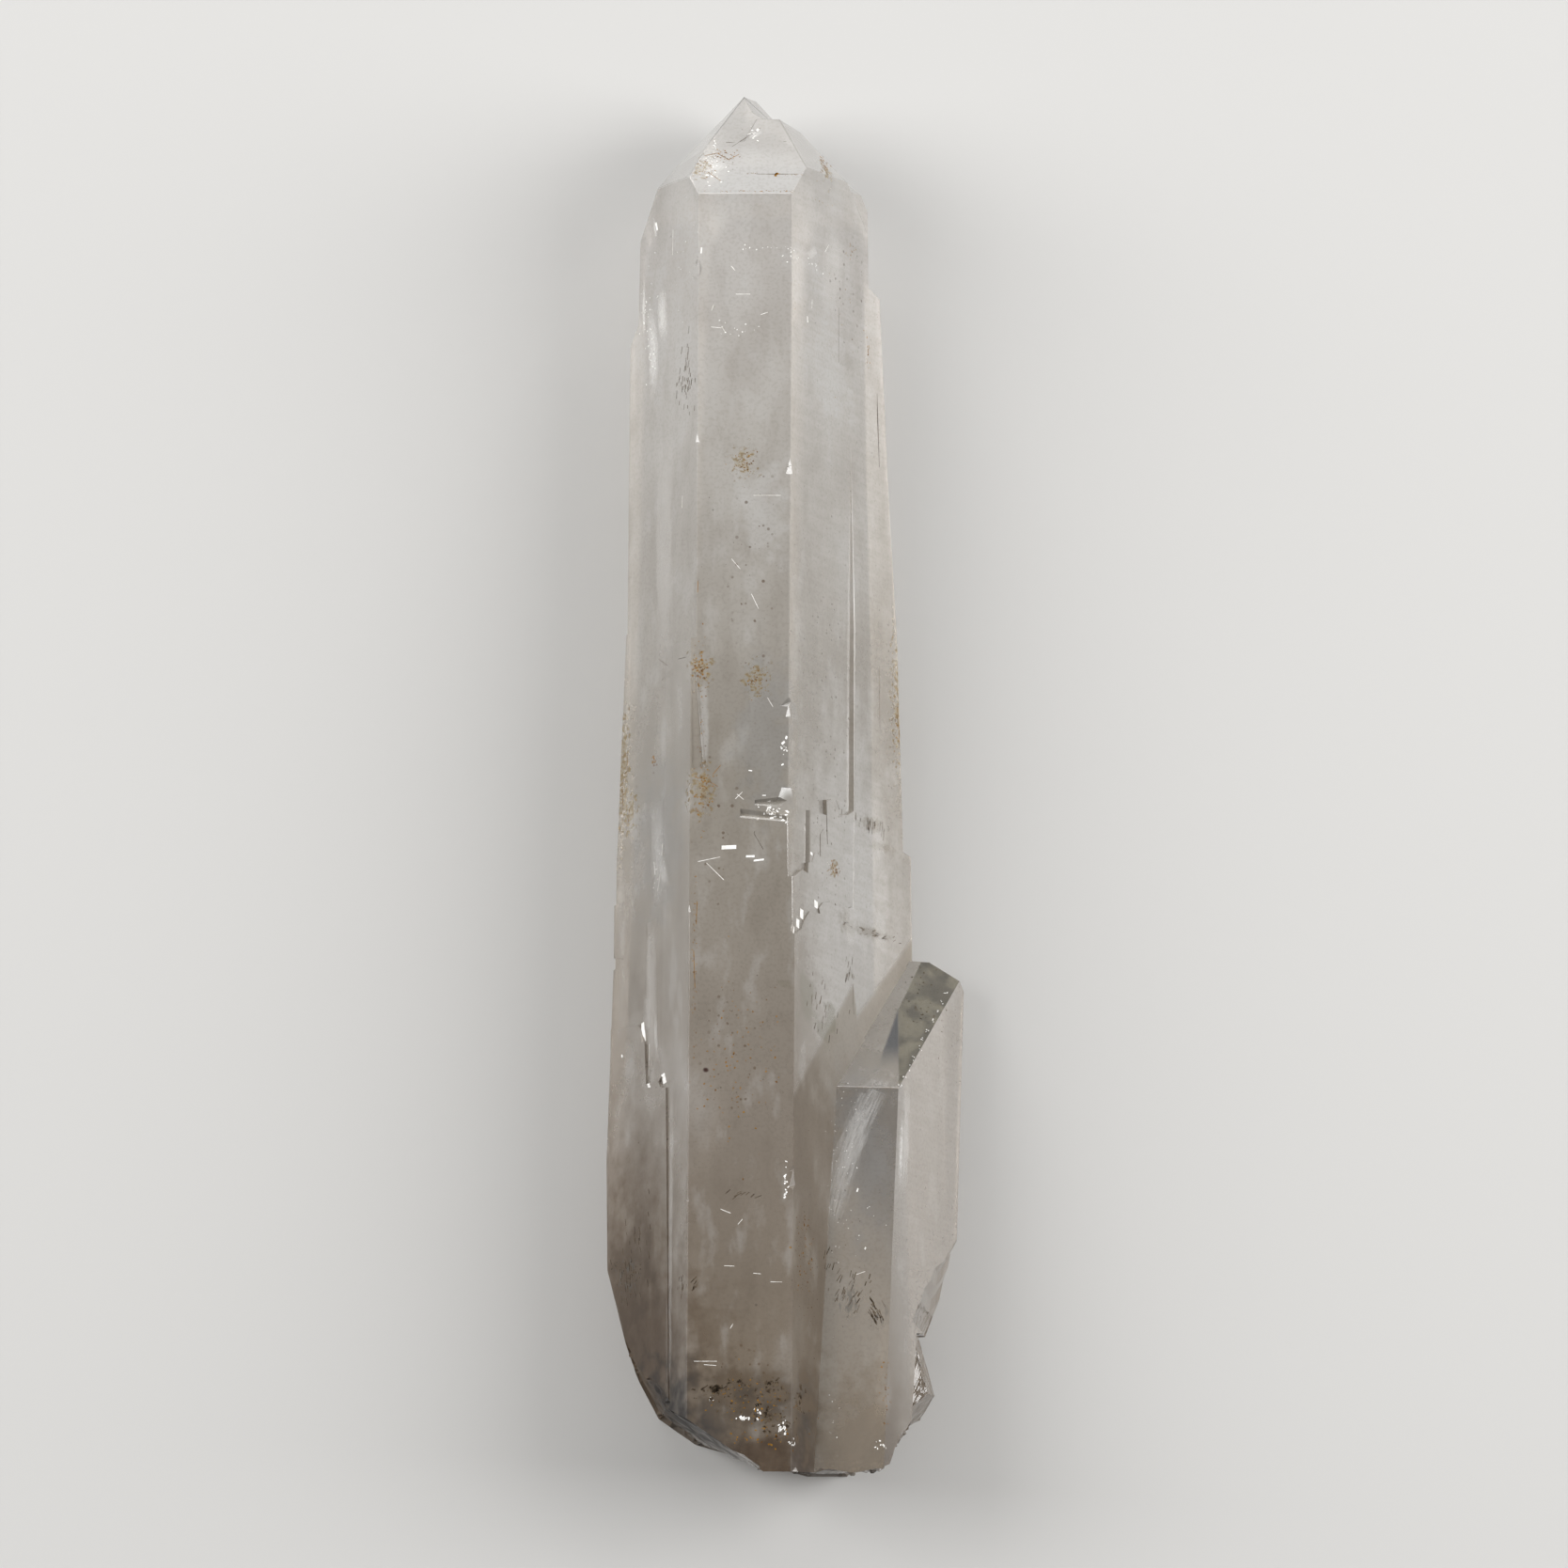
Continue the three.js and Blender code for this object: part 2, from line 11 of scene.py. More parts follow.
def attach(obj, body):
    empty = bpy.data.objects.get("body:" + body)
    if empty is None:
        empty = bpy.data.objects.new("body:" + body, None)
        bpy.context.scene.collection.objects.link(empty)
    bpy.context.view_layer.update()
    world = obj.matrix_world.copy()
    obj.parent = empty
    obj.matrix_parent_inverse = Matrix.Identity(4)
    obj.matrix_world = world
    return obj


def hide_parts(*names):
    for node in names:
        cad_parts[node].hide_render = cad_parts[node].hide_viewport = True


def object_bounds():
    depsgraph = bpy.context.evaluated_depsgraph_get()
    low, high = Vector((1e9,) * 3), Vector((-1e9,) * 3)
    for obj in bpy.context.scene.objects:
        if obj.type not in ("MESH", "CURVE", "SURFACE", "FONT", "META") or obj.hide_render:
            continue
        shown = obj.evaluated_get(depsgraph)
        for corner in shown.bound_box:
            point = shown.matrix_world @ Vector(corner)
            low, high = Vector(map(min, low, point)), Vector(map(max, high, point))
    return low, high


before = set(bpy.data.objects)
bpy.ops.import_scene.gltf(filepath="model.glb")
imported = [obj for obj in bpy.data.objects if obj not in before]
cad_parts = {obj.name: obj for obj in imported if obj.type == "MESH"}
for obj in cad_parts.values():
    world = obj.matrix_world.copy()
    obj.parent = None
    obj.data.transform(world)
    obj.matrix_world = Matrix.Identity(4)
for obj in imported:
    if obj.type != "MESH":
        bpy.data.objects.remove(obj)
cad_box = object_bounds()

# The camera looks down on the front prism face from the foot's side, 10 degrees off
# upright, with the point at the top of the picture. The picture is 207 mm wide there.
looked_at = Vector((-0.0002, 0.0001, 0.0160))
picture_width = 0.2068
steepness = math.radians(80)
camera_data = bpy.data.cameras.new("camera")
camera_data.lens = 300
camera_data.sensor_width = 36
camera_data.clip_start = 0.05
camera_data.clip_end = 20
camera = bpy.data.objects.new("camera", camera_data)
distance = picture_width * camera_data.lens / camera_data.sensor_width
camera.location = looked_at + distance * Vector((0, -math.cos(steepness), math.sin(steepness)))
camera.rotation_euler = (math.radians(90) - steepness, 0, 0)
bpy.context.scene.collection.objects.link(camera)
bpy.context.scene.camera = camera


# The crystal is one piece of slightly smoky, slightly milky quartz. It grew face by face
# from hot water, which left flat faces, thin plates and ledges, and later it was broken
# off its matrix. Its edges are sharp, but each is worn to a very fine pale line.
millimetre = 0.001
edge_width = 0.13 * millimetre
crumb_size = 0.6 * millimetre
CLEAR, FROSTED_GLINT, WORN, BROKEN = range(4)
frosted_glint_steps = [
    ((-19.1, -33.5, 18.5), (2.6, 3.4, 4)), ((-16.4, -40.5, 22.5), (2.6, 1.6, 3)),
    ((2.4, -19.5, 28), (3.4, 4, 5)), ((3.0, -12, 26.5), (1.6, 2.6, 3)), ((-23, -19, 10), (1.2, 4.2, 9)),
]


def is_broken(face):
    """True for the fractures of the foot, of the side crystal and of the stub."""
    middle = face.calc_center_median()
    normal = face.normal
    if middle.x > 0.0150 and -0.0870 < middle.y < -0.0690 and middle.z < 0.0190:
        return abs(normal.z) < 0.97
    return middle.y < -0.0700 and normal.y < -0.10 and abs(normal.z) < 0.9


def is_frosted_glint(face):
    """True for the small risers that scatter the light instead of passing it, and that carry painted glints."""
    if face.calc_area() > 9e-6 or face.normal.z > 0.985:
        return False
    if abs(face.normal.z - 0.5) < 0.012 and abs(abs(face.normal.x) - 0.866) < 0.012:
        return False
    middle = face.calc_center_median()
    return any(
        all(abs(middle[i] - centre[i] * millimetre) < reach[i] * millimetre for i in range(3))
        for centre, reach in frosted_glint_steps
    )


def is_scuffed(face):
    """True for the narrow worn riser of the long ledge on the left."""
    middle = face.calc_center_median()
    longest = max(side.calc_length() for side in face.edges)
    return middle.x < -0.011 and longest > 5 * millimetre and face.calc_area() / longest < 0.5 * millimetre


def can_wear(edge):
    """True for a convex edge between two faces that are wide enough to lose a sliver."""
    if len(edge.link_faces) != 2 or edge.calc_length() < 1.2 * millimetre:
        return False
    if any(is_broken(face) for face in edge.link_faces):
        return False
    for face in edge.link_faces:
        longest = max(side.calc_length() for side in face.edges)
        if face.calc_area() / longest < 4 * edge_width:
            return False
    return edge.calc_face_angle_signed() > math.radians(14)


def roughened(point, normal, coarse):
    """Where a point of a fracture ends up: sunk in shells with fine crumbs between them."""
    shells = abs(math.sin(260 * (point.x + 0.7 * point.z) + 5 * noise.noise(point * 90)))
    crumbs = noise.fractal(point * 900, 0.9, 2.2, 4)
    lumps = noise.noise(point * 320 + Vector((3, 1, 7)))
    sink = coarse * (0.16 * shells + 0.26 * (crumbs + 1) + 0.26 * (lumps + 1)) * millimetre
    return point - normal * sink


def crystal_mesh(solid):
    mesh = bmesh.new()
    mesh.from_mesh(solid.data)
    bmesh.ops.remove_doubles(mesh, verts=mesh.verts, dist=2e-6)
    bmesh.ops.dissolve_limit(
        mesh, angle_limit=math.radians(0.4), verts=mesh.verts, edges=mesh.edges
    )
    for face in mesh.faces:
        face.material_index = CLEAR
    bmesh.ops.bevel(
        mesh, geom=[edge for edge in mesh.edges if can_wear(edge)], offset=edge_width,
        segments=2, profile=0.6, affect="EDGES", clamp_overlap=False, material=WORN,
    )
    for halving in range(4):
        long_edges = {
            edge for face in mesh.faces if is_broken(face) for edge in face.edges
            if edge.calc_length() > crumb_size and all(is_broken(other) for other in edge.link_faces)
        }
        bmesh.ops.subdivide_edges(mesh, edges=list(long_edges), cuts=1, use_grid_fill=True)
        broken = [face for face in mesh.faces if is_broken(face) and len(face.verts) > 3]
        bmesh.ops.triangulate(mesh, faces=broken)
    for face in mesh.faces:
        if is_broken(face):
            face.material_index = BROKEN
        elif is_frosted_glint(face):
            face.material_index = FROSTED_GLINT
        elif face.material_index == CLEAR and is_scuffed(face):
            face.material_index = WORN
    inner = [v for v in mesh.verts if all(face.material_index == BROKEN for face in v.link_faces)]
    moved = []
    for vertex in inner:
        coarse = 0.8 if vertex.co.x < 0.0150 else 0.3
        moved.append(roughened(vertex.co.copy(), vertex.normal.copy(), coarse))
    for vertex, place in zip(inner, moved):
        vertex.co = place
    low, high = cad_box
    for vertex in mesh.verts:
        vertex.co = [min(max(vertex.co[i], low[i]), high[i]) for i in range(3)]
    mesh.normal_update()
    data = bpy.data.meshes.new("quartz_crystal")
    mesh.to_mesh(data)
    mesh.free()
    return data


crystal = bpy.data.objects.new("quartz_crystal", crystal_mesh(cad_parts["rock_crystal"]))
bpy.context.scene.collection.objects.link(crystal)
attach(crystal, "root")
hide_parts("rock_crystal")


def add_socket(group, name, kind, way, value=None):
    socket = group.interface.new_socket(name=name, in_out=way, socket_type=kind)
    if value is not None:
        socket.default_value = value


def join(tree, node, values):
    """Give a node's inputs their values, in order: each a link or a plain value."""
    for socket, value in zip(node.inputs, values):
        if isinstance(value, bpy.types.NodeSocket):
            tree.links.new(value, socket)
        elif value is not None:
            socket.default_value = value


def vector_step(tree, operation, a, b=None):
    node = tree.nodes.new("ShaderNodeVectorMath")
    node.operation = operation
    join(tree, node, (a, b))
    return node.outputs["Value" if operation in ("LENGTH", "DOT_PRODUCT") else "Vector"]


def number_step(tree, operation, a, b=None, c=None, clamp=False):
    node = tree.nodes.new("ShaderNodeMath")
    node.operation = operation
    node.use_clamp = clamp
    join(tree, node, (a, b, c))
    return node.outputs[0]


def times(tree, *factors):
    product = factors[0]
    for factor in factors[1:]:
        product = number_step(tree, "MULTIPLY", product, factor)
    return product


def fall_off(tree, value, low, high):
    """1 below low and 0 above high, smoothly between."""
    node = tree.nodes.new("ShaderNodeMapRange")
    node.interpolation_type = "SMOOTHSTEP"
    join(tree, node, (value, low, high, 1.0, 0.0))
    return node.outputs[0]


def noise_step(tree, place, scale, detail=3.0, stretch=None):
    if stretch is not None:
        place = vector_step(tree, "MULTIPLY", place, stretch)
    node = tree.nodes.new("ShaderNodeTexNoise")
    node.inputs["Scale"].default_value = scale
    node.inputs["Detail"].default_value = detail
    tree.links.new(place, node.inputs["Vector"])
    return node.outputs[0]


def mix_colour(tree, share, under, over, blend="MIX"):
    node = tree.nodes.new("ShaderNodeMix")
    node.data_type = "RGBA"
    node.blend_type = blend
    tints = [socket for socket in node.inputs if socket.type == "RGBA"]
    for socket, value in zip([node.inputs[0], *tints], (share, under, over)):
        if isinstance(value, bpy.types.NodeSocket):
            tree.links.new(value, socket)
        else:
            socket.default_value = (*value, 1) if isinstance(value, tuple) else value
    return next(socket for socket in node.outputs if socket.type == "RGBA")


# The body colour of the quartz: nearly white at the point and a smoky brown at the foot,
# with milky and smoky clouds in it.
smoke = bpy.data.node_groups.new("smoke_along_crystal", "ShaderNodeTree")
add_socket(smoke, "Place", "NodeSocketVector", "INPUT")
add_socket(smoke, "Colour", "NodeSocketColor", "OUTPUT")
smoke_in = smoke.nodes.new("NodeGroupInput").outputs["Place"]
smoke_out = smoke.nodes.new("NodeGroupOutput").inputs["Colour"]
along = smoke.nodes.new("ShaderNodeSeparateXYZ")
smoke.links.new(smoke_in, along.inputs[0])
half_length = 0.093
share_along = number_step(smoke, "MULTIPLY_ADD", along.outputs["Y"], 0.5 / half_length, 0.5)
tone = smoke.nodes.new("ShaderNodeValToRGB")
smoke.links.new(share_along, tone.inputs[0])
tones = [
    (0.0, (0.20, 0.15, 0.105)), (0.08, (0.31, 0.245, 0.18)), (0.25, (0.40, 0.34, 0.28)),
    (0.5, (0.495, 0.45, 0.385)), (0.75, (0.74, 0.70, 0.645)), (0.88, (0.84, 0.80, 0.755)),
    (0.93, (0.66, 0.635, 0.60)), (1.0, (0.56, 0.54, 0.515)),
]
ramp = tone.color_ramp
for element, (position, colour) in zip(ramp.elements, (tones[0], tones[-1])):
    element.position = position
    element.color = (*colour, 1)
for position, colour in tones[1:-1]:
    ramp.elements.new(position).color = (*colour, 1)
clouds = noise_step(smoke, smoke_in, 85.0, 3.0, (1, 0.5, 1))
wisps = noise_step(smoke, smoke_in, 330.0, 3.0, (1, 0.4, 1))
body = mix_colour(
    smoke, times(smoke, fall_off(smoke, clouds, 0.38, 0.56), 0.30), tone.outputs[0],
    (0.66, 0.63, 0.60), "MULTIPLY",
)
milky_share = number_step(smoke, "SUBTRACT", 1.0, fall_off(smoke, clouds, 0.50, 0.68))
body = mix_colour(smoke, times(smoke, milky_share, 0.20), body, (0.92, 0.91, 0.89))
wisp_share = number_step(smoke, "SUBTRACT", 1.0, fall_off(smoke, wisps, 0.52, 0.70))
body = mix_colour(smoke, times(smoke, wisp_share, 0.20), body, (0.95, 0.94, 0.92))
body = mix_colour(
    smoke, times(smoke, fall_off(smoke, wisps, 0.34, 0.46), 0.22), body, (0.70, 0.67, 0.63), "MULTIPLY"
)
smoke.links.new(body, smoke_out)


def new_quartz(name, transmission):
    """A quartz material: its node tree, its shader, the place on it and its body colour."""
    material = bpy.data.materials.new(name)
    material.use_nodes = True
    tree = material.node_tree
    shader = tree.nodes["Principled BSDF"]
    shader.inputs["IOR"].default_value = 1.544
    shader.inputs["Transmission Weight"].default_value = transmission
    place = tree.nodes.new("ShaderNodeTexCoord").outputs["Object"]
    node = tree.nodes.new("ShaderNodeGroup")
    node.node_tree = smoke
    tree.links.new(place, node.inputs["Place"])
    smoke_depth = tree.nodes.new("ShaderNodeVolumeAbsorption")
    smoke_depth.inputs["Color"].default_value = (0.62, 0.55, 0.47, 1)
    smoke_depth.inputs["Density"].default_value = 12.0
    tree.links.new(smoke_depth.outputs[0], tree.nodes["Material Output"].inputs["Volume"])
    return material, tree, shader, place, node.outputs["Colour"]


# A ragged patch around one place of a face: rust, clay, etching or a milky cloud.
patch = bpy.data.node_groups.new("patch_on_crystal", "ShaderNodeTree")
add_socket(patch, "Place", "NodeSocketVector", "INPUT")
add_socket(patch, "Centre", "NodeSocketVector", "INPUT")
add_socket(patch, "Reach", "NodeSocketVector", "INPUT", (0.002, 0.002, 0.002))
add_socket(patch, "Raggedness", "NodeSocketFloat", "INPUT", 0.0)
add_socket(patch, "Mask", "NodeSocketFloat", "OUTPUT")
patch_in = patch.nodes.new("NodeGroupInput")
patch_out = patch.nodes.new("NodeGroupOutput")
offset = vector_step(patch, "SUBTRACT", patch_in.outputs["Place"], patch_in.outputs["Centre"])
offset = vector_step(patch, "DIVIDE", offset, patch_in.outputs["Reach"])
far = number_step(patch, "ADD", vector_step(patch, "LENGTH", offset), patch_in.outputs["Raggedness"])
patch.links.new(fall_off(patch, far, 0.35, 1.0), patch_out.inputs["Mask"])

# Small round specks, a random share of the cells of a fine net.
specks = bpy.data.node_groups.new("specks_on_crystal", "ShaderNodeTree")
add_socket(specks, "Place", "NodeSocketVector", "INPUT")
add_socket(specks, "Net", "NodeSocketFloat", "INPUT", 700.0)
add_socket(specks, "Size", "NodeSocketFloat", "INPUT", 0.25)
add_socket(specks, "Share", "NodeSocketFloat", "INPUT", 0.3)
add_socket(specks, "Mask", "NodeSocketFloat", "OUTPUT")
specks_in = specks.nodes.new("NodeGroupInput")
specks_out = specks.nodes.new("NodeGroupOutput")
cells = specks.nodes.new("ShaderNodeTexVoronoi")
specks.links.new(specks_in.outputs["Place"], cells.inputs["Vector"])
specks.links.new(specks_in.outputs["Net"], cells.inputs["Scale"])
chance = specks.nodes.new("ShaderNodeSeparateColor")
specks.links.new(cells.outputs["Color"], chance.inputs[0])
picked = number_step(specks, "LESS_THAN", chance.outputs[0], specks_in.outputs["Share"])
size = number_step(specks, "MULTIPLY", chance.outputs[1], specks_in.outputs["Size"])
dot = fall_off(specks, cells.outputs["Distance"], times(specks, size, 0.5), size)
specks.links.new(number_step(specks, "MULTIPLY", dot, picked), specks_out.inputs["Mask"])


def patches(tree, place, places, rag, raggedness):
    """The strongest of several patches, each a centre and a reach in millimetres."""
    ragged = number_step(tree, "MULTIPLY_ADD", rag, 4 * raggedness, -2 * raggedness)
    strongest = None
    for centre, reach in places:
        node = tree.nodes.new("ShaderNodeGroup")
        node.node_tree = patch
        tree.links.new(place, node.inputs["Place"])
        tree.links.new(ragged, node.inputs["Raggedness"])
        node.inputs["Centre"].default_value = Vector(centre) * millimetre
        node.inputs["Reach"].default_value = Vector(reach) * millimetre
        mask = node.outputs["Mask"]
        strongest = mask if strongest is None else number_step(tree, "MAXIMUM", strongest, mask)
    return strongest


def speck_layer(tree, place, net, size, share):
    node = tree.nodes.new("ShaderNodeGroup")
    node.node_tree = specks
    join(tree, node, (place, net, size, share))
    return node.outputs["Mask"]


def looking(tree, way, least):
    """1 on the faces that look nearly that way, and 0 elsewhere."""
    normal = tree.nodes.new("ShaderNodeNewGeometry").outputs["True Normal"]
    return number_step(tree, "GREATER_THAN", vector_step(tree, "DOT_PRODUCT", normal, way), least)


def right_of(tree, place, start, end, soft=0.12):
    """1 to the right of the straight line from start to end, in millimetres seen from above."""
    run = Vector(end) - Vector(start)
    left = Vector((-run.y, run.x, 0)).normalized()
    edge = left.dot(Vector((*start, 0)))
    depth = vector_step(tree, "DOT_PRODUCT", place, left)
    return fall_off(tree, depth, (edge - soft) * millimetre, (edge + soft) * millimetre)


quartz, tree, shader, place, colour = new_quartz("smoky_clear_quartz", 0.56)
shader.inputs["Coat Weight"].default_value = 0.8
shader.inputs["Coat Roughness"].default_value = 0.03
shader.inputs["Coat IOR"].default_value = 1.54
fine_rag = noise_step(tree, place, 1200.0, 2.0)
broad_rag = noise_step(tree, place, 400.0, 2.0)
grain = noise_step(tree, place, 2400.0, 1.0)

# The side crystal is less smoky than the main one. Its point is painted dark olive as shade, with a
# blue-black triangle in it. The strip of the main crystal beside it is painted dark as in its shade and brown
# with clay, and a field with straight edges next to that is painted darker as the side crystal's shade.
side_zone = patches(tree, place, [((20, -60, 12), (25, 90, 60))], broad_rag, 0.02)
right_front = looking(tree, (0.866, 0.003, 0.5), 0.998)
side_right_painted_light = times(tree, right_front, patches(tree, place, [((19, -55, 10), (9, 60, 60))], broad_rag, 0.02))
side_front = looking(tree, (0, 0.10, 0.995), 0.999)
side_point = times(tree, looking(tree, (0.017, 0.663, 0.749), 0.9995), side_zone)
colour = mix_colour(tree, times(tree, side_front, 0.45), colour, (0.42, 0.39, 0.345))
# Painted light: the side crystal's right face is made paler, as lit from the right.
colour = mix_colour(tree, times(tree, side_right_painted_light, 0.55), colour, (0.72, 0.69, 0.65))
# Painted shade on the side crystal's point: darker all over, dark olive on its far half and blue-black in a small
# triangle.
clay_and_shade_mottle = fall_off(tree, broad_rag, 0.35, 0.65)
olive = mix_colour(tree, clay_and_shade_mottle, (0.055, 0.045, 0.018), (0.24, 0.215, 0.14))
colour = mix_colour(tree, times(tree, side_point, 0.5), colour, (0.37, 0.35, 0.31))
far_half = times(
    tree, right_of(tree, place, (14.85, -40), (14.85, -28)), right_of(tree, place, (15.1, -28.6), (17.9, -21.9)),
)
colour = mix_colour(tree, times(tree, side_point, far_half, 0.92), colour, olive)
inner_triangle = times(
    tree, right_of(tree, place, (12.6, -36.4), (15.0, -28.6), 0.2), right_of(tree, place, (14.85, -28), (14.85, -40)),
    right_of(tree, place, (16, -36.3), (10, -36.3), 2.0),
)
colour = mix_colour(tree, times(tree, side_point, inner_triangle), colour, (0.06, 0.065, 0.075))
not_side_front = number_step(tree, "SUBTRACT", 1.0, side_front)
# Painted shade and clay: the strip of the main crystal beside the side crystal, on all but the front faces.
shaded_strip = patches(tree, place, [((3.0, -76, 26), (9, 42, 30))], broad_rag, 0.05)
not_main_front = number_step(tree, "SUBTRACT", 1.0, looking(tree, (0, 0.014, 1), 0.9998))
shaded_strip = times(tree, shaded_strip, not_side_front, not_main_front)
# Painted shade of the side crystal: a darker field with straight edges on the main crystal's right face.
side_shade_lower_part = times(
    tree, right_of(tree, place, (1.9, -41.8), (8.9, -26.9), 0.35), right_of(tree, place, (8.9, -26.9), (9.4, -31.2)),
)
side_shade_upper_part = right_of(tree, place, (9.4, -31.2), (15.3, -21.0), 0.35)
side_crystal_painted_shade = times(tree, number_step(tree, "MAXIMUM", side_shade_lower_part, side_shade_upper_part), right_front, not_side_front)
side_crystal_painted_shade = times(
    tree, side_crystal_painted_shade, right_of(tree, place, (16, -60), (0, -60), 6), right_of(tree, place, (21.2, -26.2), (14.7, -40.1)),
)
shaded_strip = number_step(tree, "MAXIMUM", shaded_strip, side_crystal_painted_shade)
# Painted light: a paler field on the main crystal's right front face, where it catches the light from the right.
right_face_painted_light = times(tree, right_front, patches(tree, place, [((9, -18, 17), (13, 36, 22))], broad_rag, 0.12))
colour = mix_colour(tree, times(tree, right_face_painted_light, 0.62), colour, (0.88, 0.86, 0.83))
low_left = patches(tree, place, [((-19.4, -92, 16), (13, 66, 34))], broad_rag, 0.10)
colour = mix_colour(tree, times(tree, low_left, 0.9), colour, (0.37, 0.275, 0.17), "MULTIPLY")
low_side = times(tree, side_front, patches(tree, place, [((9, -74, 25), (12, 34, 20))], broad_rag, 0.10))
colour = mix_colour(tree, times(tree, low_side, 0.40), colour, (0.64, 0.58, 0.50))
tan_foot = patches(tree, place, [((9, -90, 20), (13, 15, 24)), ((-14, -74, 24), (12, 12, 14))], broad_rag, 0.3)
colour = mix_colour(tree, times(tree, tan_foot, 0.55), colour, (0.62, 0.52, 0.40), "MULTIPLY")
side_smoke = times(tree, side_front, patches(tree, place, [((13.5, -44, 21), (7.5, 30, 9))], broad_rag, 0.08))
colour = mix_colour(tree, times(tree, side_smoke, 0.5), colour, (0.20, 0.19, 0.18))
# Painted reflection: darker rectangles on the right face, where the edges of the lower plates are mirrored.
mirrored_plate_rectangles = patches(
    tree, place,
    [((11.4, -4.6, 12), (2.6, 1.3, 7)), ((8.4, -18.9, 18), (1.9, 2.4, 5)), ((11.2, -19.2, 13), (4.6, 0.9, 9)),
     ((12.8, -7.3, 10), (2.6, 0.8, 6))], fine_rag, 0.35,
)
colour = mix_colour(tree, times(tree, mirrored_plate_rectangles, 0.55), colour, (0.55, 0.50, 0.42), "MULTIPLY")

# The front face of the point is the clearest, and it is painted brighter as a highlight where it catches the light
# from beyond, most of all in its lower half.
point_front = looking(tree, (0, 0.618, 0.786), 0.9995)
colour = mix_colour(tree, times(tree, point_front, 0.55), colour, (0.88, 0.86, 0.83))
lower_half_highlight = times(tree, point_front, patches(tree, place, [((-5, 79.5, 26), (14, 7.5, 8))], fine_rag, 0.02))
colour = mix_colour(tree, times(tree, lower_half_highlight, 0.6), colour, (0.97, 0.955, 0.93))

# Milky, bluish and smoky clouds just under the faces.
milk = patches(
    tree, place,
    [((2.5, 67, 26), (7, 5, 6)), ((-17, 60, 19), (2.6, 11, 5)), ((6, 55, 20), (6, 9, 8)),
     ((10.5, -13.5, 14), (4.6, 10, 9)),
     ((-10.6, 6, 30), (0.7, 7, 2)), ((-3, 34, 30), (4, 9, 3))],
    broad_rag, 0.45,
)
colour = mix_colour(tree, times(tree, milk, 0.42), colour, (0.88, 0.86, 0.83))
haze = patches(
    tree, place,
    [((-2.5, 4, 30), (5.5, 14, 4)), ((-16, -8, 22), (7, 14, 9)), ((10, -48, 21), (5, 18, 5))],
    broad_rag, 0.35,
)
colour = mix_colour(tree, times(tree, haze, 0.28), colour, (0.37, 0.385, 0.40))
brown = patches(
    tree, place,
    [((-19.5, -28, 16), (3, 4, 5)), ((-13, -83, 26), (8, 8, 10)),
     ((-20, -66, 17), (5, 12, 9))],
    broad_rag, 0.6,
)
colour = mix_colour(tree, times(tree, brown, 0.30), colour, (0.40, 0.34, 0.26), "MULTIPLY")
rim = patches(tree, place, [((-16, -90, 20), (15, 14, 24))], broad_rag, 0.3)
colour = mix_colour(tree, times(tree, rim, 0.95), colour, (0.06, 0.036, 0.018), "MULTIPLY")
brown_foot = patches(tree, place, [((-2, -92, 30), (10, 6, 7))], broad_rag, 0.3)
colour = mix_colour(tree, times(tree, brown_foot, 0.9), colour, (0.42, 0.30, 0.18), "MULTIPLY")
# Painted shade and clay: the strip and the field beside the side crystal are darkened and browned.
colour = mix_colour(tree, times(tree, shaded_strip, 0.9), colour, (0.70, 0.66, 0.60), "MULTIPLY")

# Fine clay: a grain all over, and brushed bands and specks on the right front face.
colour = mix_colour(tree, times(tree, fall_off(tree, grain, 0.30, 0.55), 0.16), colour, (0.5, 0.47, 0.42), "MULTIPLY")
slant = tree.nodes.new("ShaderNodeMapping")
slant.inputs["Rotation"].default_value = (0, 0, math.radians(-32))
slant.inputs["Scale"].default_value = (2.6, 0.75, 1)
tree.links.new(place, slant.inputs["Vector"])
tilt = tree.nodes.new("ShaderNodeMapping")
tilt.inputs["Rotation"].default_value = (0, 0, math.radians(9))
tree.links.new(place, tilt.inputs["Vector"])
bands = fall_off(tree, noise_step(tree, tilt.outputs[0], 1.0, 3.0, (170, 1300, 90)), 0.42, 0.60)
pepper = speck_layer(tree, place, 1700.0, 0.44, 0.34)
peppered = patches(tree, place, [((5.5, 6, 21), (5, 34, 12))], broad_rag, 0.3)
pepper = times(tree, pepper, number_step(tree, "MULTIPLY_ADD", peppered, 0.55, 0.25))
dirt = number_step(tree, "MAXIMUM", times(tree, bands, 0.08), pepper)
dirt_zone = number_step(tree, "MULTIPLY_ADD", right_front, 0.80, 0.20)
bare_strip = number_step(tree, "SUBTRACT", 1.0, shaded_strip)
colour = mix_colour(tree, times(tree, dirt, dirt_zone, bare_strip), colour, (0.26, 0.215, 0.155))

# Iron rust: blooms on the ledges and edges, and fields of fine specks on the front face.
rust_places = [
    ((-11.2, 13.2, 29.9), (1.5, 2.2, 2)), ((-11.0, -3.1, 30), (1.8, 3.0, 2)),
    ((-3.8, 11.5, 29.9), (1.6, 2.2, 2)), ((6.4, -12.1, 20.8), (1.0, 1.3, 1.2)),
    ((-21.6, 2.5, 12.6), (1.3, 9, 3)), ((-20.6, -3.5, 14), (1.6, 3, 3)),
    ((-5.3, 40.6, 29.5), (1.6, 2.0, 2)),
    ((5.4, 83, 20), (1.0, 3.2, 1.6)), 
    ((-11.0, 80.8, 25.9), (1.4, 1.9, 2)),
    ((15.4, 14, 5.5), (1.6, 9, 4)),
]
rust = patches(tree, place, rust_places, fine_rag, 1.0)
